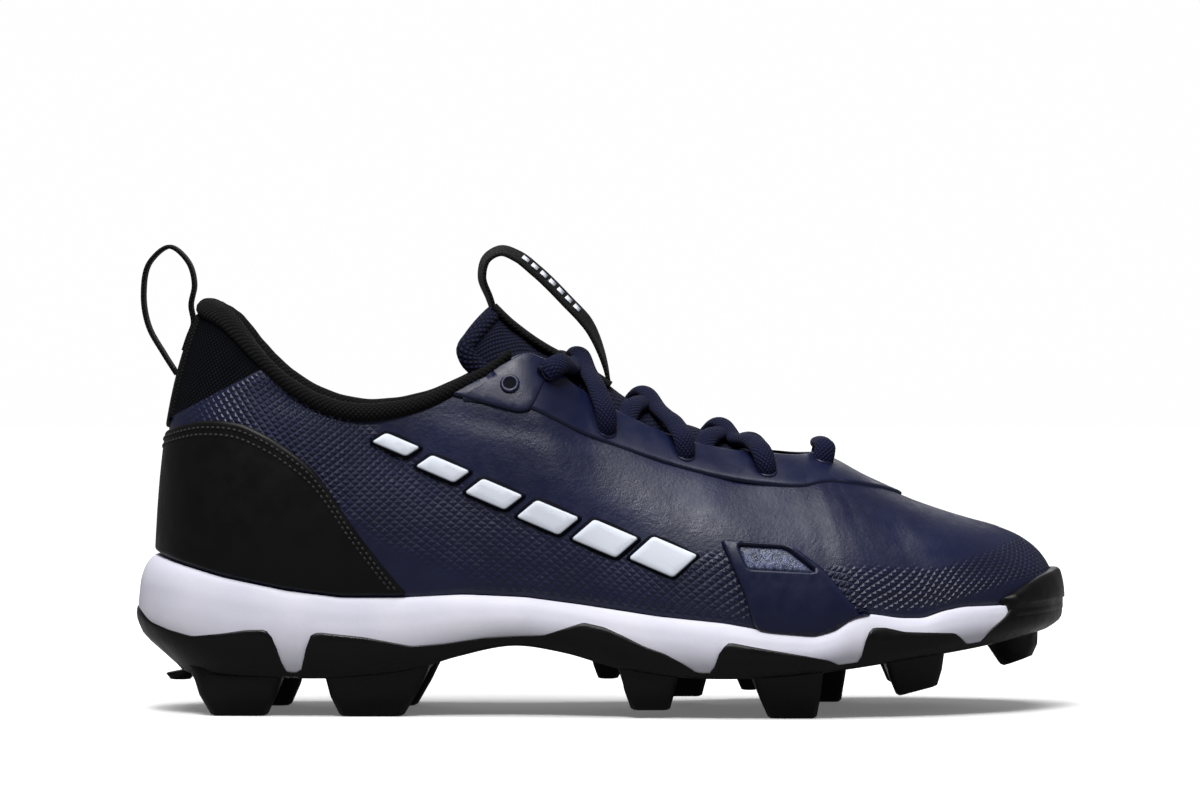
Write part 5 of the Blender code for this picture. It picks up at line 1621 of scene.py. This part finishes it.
def tongue_point(row_place, angle, sink):
    """A point of the tongue: row_place along its length, angle across its arch."""
    x = along(TONGUE_LINE, "x", row_place) * LENGTH
    z = STUD_HEIGHT + along(TONGUE_LINE, "z", row_place) * INSTEP_HEIGHT
    half = along(TONGUE_LINE, "width", row_place) * TONGUE_WIDTH / 2 - sink
    drop = along(TONGUE_LINE, "drop", row_place) * TONGUE_WIDTH / 2 - sink
    setback = along(TONGUE_LINE, "setback", row_place) * TONGUE_WIDTH
    y = TONGUE_SHIFT + half * math.sin(angle)
    return np.array((
        x - setback * math.sin(angle) ** 2, y, z - sink - drop * (1 - math.cos(angle)),
    ))


# The tongue: the seam's row and depth, the swell of its padding, the round of its edges and
# the length of one row for the cloth's pattern.
SEAM_ROW = 5.1
SEAM_DEPTH = 0.0009
TONGUE_PUFF = 0.0006
TONGUE_EDGE = 0.0022
TONGUE_ROW_LENGTH = 0.0155

# Half axes of the binding round the tongue and of the strip along its crest, with how deep the
# one lies and how high the other.
BINDING_OUT = 0.0026
BINDING_ACROSS = 0.0031
BINDING_SINK = 0.0018
CREST_OUT = 0.0015
CREST_ACROSS = 0.0052
CREST_LIFT = 0.0006


def build_tongue():
    """The padded tongue of thick mesh, its bound edge and the seam across it."""
    reach = math.radians(TONGUE_REACH)
    last = len(TONGUE_LINE) - 1
    across = np.linspace(-1, 1, 41)
    rims = [1 - (1 - min(1.0, (1 - abs(share)) / 0.10)) ** 2 for share in across]
    rows = np.linspace(0, last, 90)
    points = []
    along_marks = []
    up_marks = []
    for row in rows:
        pinch = SEAM_DEPTH * math.exp(-((row - SEAM_ROW) / 0.12) ** 2)
        puff = TONGUE_PUFF * math.sin(row * 5.0) * math.sin(row * 2.3)
        ring = []
        for share, rim in zip(across, rims):
            swell = puff * math.cos(share * 1.5) - pinch
            ring.append(tongue_point(row, share * reach, TONGUE_EDGE * (1 - rim) - swell * rim))
        for share, rim in zip(reversed(across), reversed(rims)):
            sink = TONGUE_THICKNESS - TONGUE_EDGE * (1 - rim)
            ring.append(tongue_point(row, share * reach, sink))
        points.extend(ring)
        along_marks.extend([row * TONGUE_ROW_LENGTH] * len(ring))
        up_marks.extend([abs(share) * reach * TONGUE_WIDTH / 2 for share in (*across, *across)])
    faces = tube_faces(len(rows), 2 * len(across))
    part = (np.array(points), faces, along_marks, up_marks)
    tongue = add_piece("tongue_mesh", joined_mesh("tongue_mesh", [part]), MESH, ("tongue",))
    climb = list(np.linspace(5.2, last, 26)[:-1])
    edge = [tongue_point(row, -reach, BINDING_SINK) for row in climb]
    edge += [tongue_point(last, angle, BINDING_SINK) for angle in np.linspace(-reach, reach, 40)]
    edge += [tongue_point(row, reach, BINDING_SINK) for row in reversed(climb)]
    path = smooth_path(even(np.array(edge), 0.004), 150)
    middle = tongue_point(last - 1, 0.0, 0.02)

    def ring_of(k, run):
        outward = path[k] - middle
        outward -= run * (outward @ run)
        outward /= np.linalg.norm(outward)
        return oval(outward * BINDING_OUT, np.cross(run, outward) * BINDING_ACROSS, 18)

    binding = joined_mesh("tongue_binding", [swept(path, ring_of)])
    add_piece("tongue_binding", binding, MESH, ())
    crest = [tongue_point(row, -0.12, -CREST_LIFT) for row in np.linspace(4.55, last, 9)]

    def crest_ring(k, run):
        side_on = np.array((0.0, 1.0, 0.0))
        return oval(side_on * CREST_ACROSS, np.cross(run, side_on) * CREST_OUT, 18)

    part = swept(smooth_path(crest, 90), crest_ring)
    add_piece("tongue_crest", joined_mesh("tongue_crest", [part]), KNIT, ())


def strap_axes(run, turns, share):
    """Directions across a strap and out of it, at a share of its length."""
    turn = math.radians(float(np.interp(share, *zip(*turns))))
    flat = np.array((0.0, 1.0, 0.0))
    across = flat * math.cos(turn) + np.cross(run, flat) * math.sin(turn)
    return across, np.cross(run, across)


def strap_part(points, turns, width, count):
    """A flat woven strap along a path in the shoe's middle plane, turned about its own line."""
    def ring_of(k, run):
        across, normal = strap_axes(run, turns, k / (count - 1))
        ring = []
        for angle in np.linspace(0, 2 * math.pi, 25)[:-1]:
            c, s = math.cos(angle), math.sin(angle)
            reach = math.copysign(abs(c) ** 0.25, c) * width / 2
            lift = math.copysign(abs(s) ** 0.55, s) * STRAP_THICKNESS / 2
            ring.append(across * reach + normal * lift)
        return np.array(ring)

    return swept(smooth_path(points, count), ring_of)


# The tongue's pull loop from its rear foot over the top to where it is sewn down in front, in
# loop heights from the tongue's tip.
TONGUE_LOOP_PATH = (
    (0.02, -0.10), (-0.06, 0.14), (-0.17, 0.45), (-0.10, 0.72), (0.10, 0.83), (0.34, 0.75),
    (0.60, 0.55), (1.05, 0.11), (1.38, -0.26), (1.54, -0.60), (1.62, -0.86), (1.66, -1.05),
)
# Turns of the tongue's loop about its own line: share of its length and degrees.
TONGUE_LOOP_TWIST = ((0.0, 8), (0.25, 15), (0.42, 21), (0.74, 21), (0.88, 10), (1.0, 0))


# Places along the tongue's loop, and its printed dashes: where they start and how long they
# are in such places, half their width as a share of the strap's, and how far they stand out.
TONGUE_LOOP_COUNT = 130
DASH_STARTS = range(50, 92, 6)
DASH_LENGTH = 4
DASH_WIDTH = 0.16
DASH_RISE = 0.0002


def build_loops():
    """The strip up the heel with its pull loop, and the pull loop on the tongue."""
    seat = [lifted(0.0, -1, v, 0.0009) for v in (0.84, 0.90, 0.95)]
    foot = lifted(0.0, -1, 0.740, 0.0010)
    top = STUD_HEIGHT + HEEL_HEIGHT
    path = [(point[0], 0.0, point[2]) for point in seat]
    path += [(row.x * LENGTH, 0.0, top + row.up * LOOP_HEIGHT) for row in HEEL_LOOP]
    path.append((foot[0], 0.0, foot[2]))
    part = strap_part(path, ((0, 0), (1, 0)), STRAP_WIDTH, 150)
    add_piece("heel_strap", joined_mesh("heel_strap", [part]), WEBBING, ("heel_loop",))
    tip = tongue_point(len(TONGUE_LINE) - 1, 0.0, 0.0)
    base = np.array((tip[0], TONGUE_SHIFT, tip[2]))
    path = [base + np.array((x, 0.0, up)) * LOOP_HEIGHT for x, up in TONGUE_LOOP_PATH]
    width = STRAP_WIDTH * 0.75
    part = strap_part(path, TONGUE_LOOP_TWIST, width, TONGUE_LOOP_COUNT)
    mesh = joined_mesh("tongue_strap", [part])
    add_piece("tongue_strap", mesh, WEBBING, ("tongue_loop",))
    line = smooth_path(path, TONGUE_LOOP_COUNT)
    dashes = []
    for first in DASH_STARTS:
        start, end = line[first], line[first + DASH_LENGTH]
        run = (end - start) / np.linalg.norm(end - start)
        across, normal = strap_axes(run, TONGUE_LOOP_TWIST, first / (TONGUE_LOOP_COUNT - 1))
        base = start + normal * (STRAP_THICKNESS / 2 + 0.0001)
        ring = [
            base + (end - start) * share + across * side * width * DASH_WIDTH
            for share, side in ((0, -1), (1, -1), (1, 1), (0, 1))
        ]
        lid = [corner + normal * DASH_RISE for corner in ring]
        dashes.append((np.array(ring + lid), tube_faces(2, 4), [0.0] * 8, [0.0] * 8))
    add_piece("strap_dashes", joined_mesh("strap_dashes", dashes), PRINT)


build_collar()
build_tongue()
build_loops()


# The lace's oval section, how deep its ends go into a hole, and where up a rib the throat's
# edge is that it bends over.
LACE_WIDTH = 0.0066
LACE_DEPTH = 0.0044
HOLE_DEPTH = 0.0032
THROAT_EDGE = 0.975

# How many ribs a lace slants on its way from a hole to the throat's edge, how far it stands
# clear of what is under it, and how much of its depth the upper one rises where two cross.
LACE_SLANT = 0.15
LACE_SLACK = 0.0006
OVER_LIFT = 0.72


def tongue_top(x, y):
    """Height of the tongue's face over a point in plan."""
    places = [tongue_point(row, 0.0, 0.0)[0] for row in range(len(TONGUE_LINE))]
    row = float(np.interp(-x, [-place for place in places], range(len(places))))
    half = along(TONGUE_LINE, "width", row) * TONGUE_WIDTH / 2
    angle = math.asin(min(max((y - TONGUE_SHIFT) / half, -0.95), 0.95))
    return tongue_point(row, angle, 0.0)[2]


def lace_points(start, end, side, over, reaches):
    """Places and outward directions of a lace from its hole over the throat."""
    half = LACE_DEPTH / 2
    film = FILM_RISE + half
    hole = upper_normal(start.rib, side, start.v)
    points = [lifted(start.rib, side, start.v, -HOLE_DEPTH),
              lifted(start.rib, side, start.v, FILM_RISE)]
    ways = [hole, hole]
    points.append(lifted(start.rib - 0.05, side, start.v + 0.04, film + 0.0008))
    ways.append(hole)
    edge = lifted(start.rib - LACE_SLANT, side, THROAT_EDGE, film + LACE_SLACK)
    points.append(edge)
    ways.append(upper_normal(start.rib - LACE_SLANT, side, 0.95))
    far = lifted(end.rib + LACE_SLANT, -side, THROAT_EDGE, film + LACE_SLACK)
    for share in (0.3, 0.5, 0.7) if reaches else (0.32, 0.55, 0.78):
        x = edge[0] + (far[0] - edge[0]) * share
        y = edge[1] + (far[1] - edge[1]) * share
        crossing = max(0.0, 1 - abs(2 * share - 1.1) * 1.6)
        lift = half - LACE_SLACK + (LACE_DEPTH * OVER_LIFT if over else 0.0) * crossing
        points.append(np.array((x, y, tongue_top(x, y) + lift)))
        ways.append(np.array((0.25, 0.35 * math.copysign(share - 0.5, -side) * 2, 1.0)))
    if reaches:
        points += [far, lifted(end.rib, -side, end.v, film + 0.0004),
                   lifted(end.rib, -side, end.v, -HOLE_DEPTH)]
        ways += [upper_normal(end.rib + LACE_SLANT, -side, 0.95), upper_normal(end.rib, -side, end.v),
                 upper_normal(end.rib, -side, end.v)]
    else:
        x = edge[0] + (far[0] - edge[0]) * 1.02
        y = edge[1] + (far[1] - edge[1]) * 1.02
        points.append(np.array((x, y, tongue_top(x, y) + 0.0002)))
        ways.append(np.array((0.25, -side * 0.6, 1.0)))
    return points, ways


def cord_part(points, ways, count=110):
    """A braided oval cord through places, its flat side facing the given directions."""
    path = smooth_path(points, count)
    knots = lengths_of(np.array(points))
    places = np.linspace(0, knots[-1], count)
    ways = np.array(ways)
    facing = np.stack([np.interp(places, knots, ways[:, k]) for k in range(3)], axis=1)

    def ring_of(k, run):
        out = facing[k] - run * (facing[k] @ run)
        size = np.linalg.norm(out)
        if size < 0.2:
            out = np.cross(run, np.cross(np.array((0.3, 0.2, 1.0)), run))
            size = np.linalg.norm(out)
        out = out / size
        tight = 1 - 0.30 * math.exp(-(k / 7) ** 2)
        return oval(np.cross(run, out) * LACE_WIDTH / 2 * tight, out * LACE_DEPTH / 2, 24)

    return swept(path, ring_of)


def build_laces():
    """One bar at the front holes and three crossings up the throat."""
    front = EYELETS[0]
    film = FILM_RISE + LACE_DEPTH / 2
    points = []
    ways = []
    for side in (-1, 1):
        normal = upper_normal(front.rib, side, front.v)
        row = [lifted(front.rib, side, front.v, -HOLE_DEPTH),
               lifted(front.rib, side, front.v, FILM_RISE),
               lifted(front.rib, side, front.v + 0.03, film + 0.0012),
               lifted(front.rib - 0.02, side, THROAT_EDGE, film + LACE_SLACK)]
        facing = [normal] * 3 + [upper_normal(front.rib, side, 0.95)]
        points += row if side < 0 else row[::-1]
        ways += facing if side < 0 else facing[::-1]
    bar = cord_part(points, ways)
    add_piece("lace_front", joined_mesh("lace_front", [bar]), LACE, ("lace_bar",))
    for k in (1, 2, 3):
        start, end = EYELETS[k], EYELETS[k + 1]
        parts = [cord_part(*lace_points(start, end, -1, True, k == 3)),
                 cord_part(*lace_points(start, end, 1, False, k == 3))]
        name = f"lace_pair_{k}"
        add_piece(name, joined_mesh(name, parts), LACE, (f"lace_crossing_{k}",))


# The holes' rims: points round one, half width and rise, and the first of the holes that go
# through the flap, which stands further out.
RIM_COUNT = 32
RIM_HALF_WIDTH = 0.0007
RIM_RISE = 0.0005
FIRST_FLAP_HOLE = 4
FLAP_RISE = 0.0008


def build_holes():
    """Eyelet holes with a rolled rim on both sides, each filled by a disc of painted shade."""
    rims = []
    shade_discs = []
    for side in (-1, 1):
        for k, eyelet in enumerate(EYELETS):
            raised = FILM_RISE + (FLAP_RISE if k >= FIRST_FLAP_HOLE else 0.0)
            centre = lifted(eyelet.rib, side, eyelet.v, raised)
            normal = upper_normal(eyelet.rib, side, eyelet.v)
            first = np.cross(normal, (0.0, 0.0, 1.0))
            first /= np.linalg.norm(first)
            circle = oval(first, np.cross(normal, first), RIM_COUNT)
            circle = np.concatenate((circle, circle[:1]))
            path = centre + circle * EYELET_DIAMETER / 2

            def ring_of(place, run):
                return oval(circle[place] * RIM_HALF_WIDTH, normal * RIM_RISE, 10)

            rims.append(swept(path, ring_of, closed_ends=False))
            # A dark disc of painted shade fills each hole, where the hole's depth would be in shade.
            disc = np.concatenate(([centre], path[:-1])) + normal * 0.0001
            faces = [(0, 1 + i, 1 + (i + 1) % RIM_COUNT) for i in range(RIM_COUNT)]
            blank = [0.0] * len(disc)
            shade_discs.append((disc, faces, blank, blank))
    add_piece("hole_rims", joined_mesh("hole_rims", rims), NAVY_FILM, ())
    add_piece("hole_shade_discs", joined_mesh("hole_shade_discs", shade_discs), OUTLINE_AND_HOLE_SHADE)


build_laces()
build_holes()


# The point that the lights are aimed at, the surroundings' colour and half the floor's side.
AIM = Vector((0.0, 0.0, 0.06))
PAPER_WHITE = (1.0, 0.995, 1.0, 1.0)
FLOOR_REACH = 3.0

# The camera: the point it looks at, its distance in metres, its rise over the level in
# degrees and its lens in millimetres.
CAMERA_AIM = Vector((-0.0005, -0.0366, 0.0959))
CAMERA_DISTANCE = 2.0
CAMERA_RISE = 1.4
LENS = 199.0


def area_light(name, place, size, power):
    """A soft rectangular light aimed at the shoe."""
    lamp = bpy.data.lights.new(name, "AREA")
    lamp.shape = "RECTANGLE"
    lamp.size, lamp.size_y = size
    lamp.energy = power
    made = bpy.data.objects.new(name, lamp)
    made.location = place
    made.rotation_euler = (AIM - Vector(place)).to_track_quat("-Z", "Y").to_euler()
    bpy.context.scene.collection.objects.link(made)


def seen_or_lit(tree, lit, seen):
    """A value that is lit for the light that falls on the shoe and seen for the camera."""
    ray = tree.nodes.new("ShaderNodeLightPath")
    node = tree.nodes.new("ShaderNodeMapRange")
    node.inputs["To Min"].default_value = lit
    node.inputs["To Max"].default_value = seen
    tree.links.new(ray.outputs["Is Camera Ray"], node.inputs["Value"])
    return node.outputs["Result"]


def build_surroundings():
    """White surroundings and a white floor."""
    scene = bpy.context.scene
    world = bpy.data.worlds.new("studio")
    scene.world = world
    world.use_nodes = True
    tree = world.node_tree
    sky = tree.nodes["Background"]
    sky.inputs["Color"].default_value = PAPER_WHITE
    tree.links.new(seen_or_lit(tree, 0.16, 1.0), sky.inputs["Strength"])
    corners = [(-FLOOR_REACH, -FLOOR_REACH, 0.0), (FLOOR_REACH, -FLOOR_REACH, 0.0),
               (FLOOR_REACH, FLOOR_REACH, 0.0), (-FLOOR_REACH, FLOOR_REACH, 0.0)]
    floor_mesh = made_mesh("floor", corners, [(0, 1, 2, 3)])
    paper = bpy.data.materials.new("floor_paper")
    paper.use_nodes = True
    tree = paper.node_tree
    shader = tree.nodes["Principled BSDF"]
    tree.links.new(seen_or_lit(tree, 0.20, 0.92), shader.inputs["Base Color"])
    tree.links.new(seen_or_lit(tree, 0.04, 0.13), shader.inputs["Emission Strength"])
    shader.inputs["Roughness"].default_value = 1.0
    shader.inputs["Specular IOR Level"].default_value = 0.0
    shader.inputs["Emission Color"].default_value = PAPER_WHITE
    floor_mesh.materials.append(paper)
    floor = bpy.data.objects.new("floor", floor_mesh)
    scene.collection.objects.link(floor)


def build_lights():
    """One wide light from overhead and four soft ones round the shoe."""
    overhead = bpy.data.lights.new("overhead", "SUN")
    overhead.energy = 2.9
    overhead.angle = math.radians(50)
    sun = bpy.data.objects.new("overhead", overhead)
    sun.rotation_euler = (math.radians(14), math.radians(-6), 0.0)
    bpy.context.scene.collection.objects.link(sun)
    area_light("key", (-0.12, -0.72, 0.98), (0.36, 0.16), 6.5)
    area_light("top", (-0.25, 0.05, 1.2), (0.5, 0.25), 2.2)
    area_light("toe", (0.9, -0.5, 0.5), (0.4, 0.6), 0.4)
    area_light("far_side", (-0.1, 1.0, 0.5), (0.9, 0.5), 1.4)


def build_camera():
    """The photo's camera: level with the shoe but for a small rise, on a long lens."""
    lens = bpy.data.cameras.new("photo_camera")
    lens.lens = LENS
    lens.sensor_width = 36.0
    lens.clip_start = 0.1
    camera = bpy.data.objects.new("photo_camera", lens)
    rise_angle = math.radians(CAMERA_RISE)
    away = Vector((0, -math.cos(rise_angle), math.sin(rise_angle))) * CAMERA_DISTANCE
    camera.location = CAMERA_AIM + away
    camera.rotation_euler = (CAMERA_AIM - camera.location).to_track_quat("-Z", "Y").to_euler()
    scene = bpy.context.scene
    scene.collection.objects.link(camera)
    scene.camera = camera
    scene.view_settings.view_transform = "Standard"


build_surroundings()
build_lights()
build_camera()
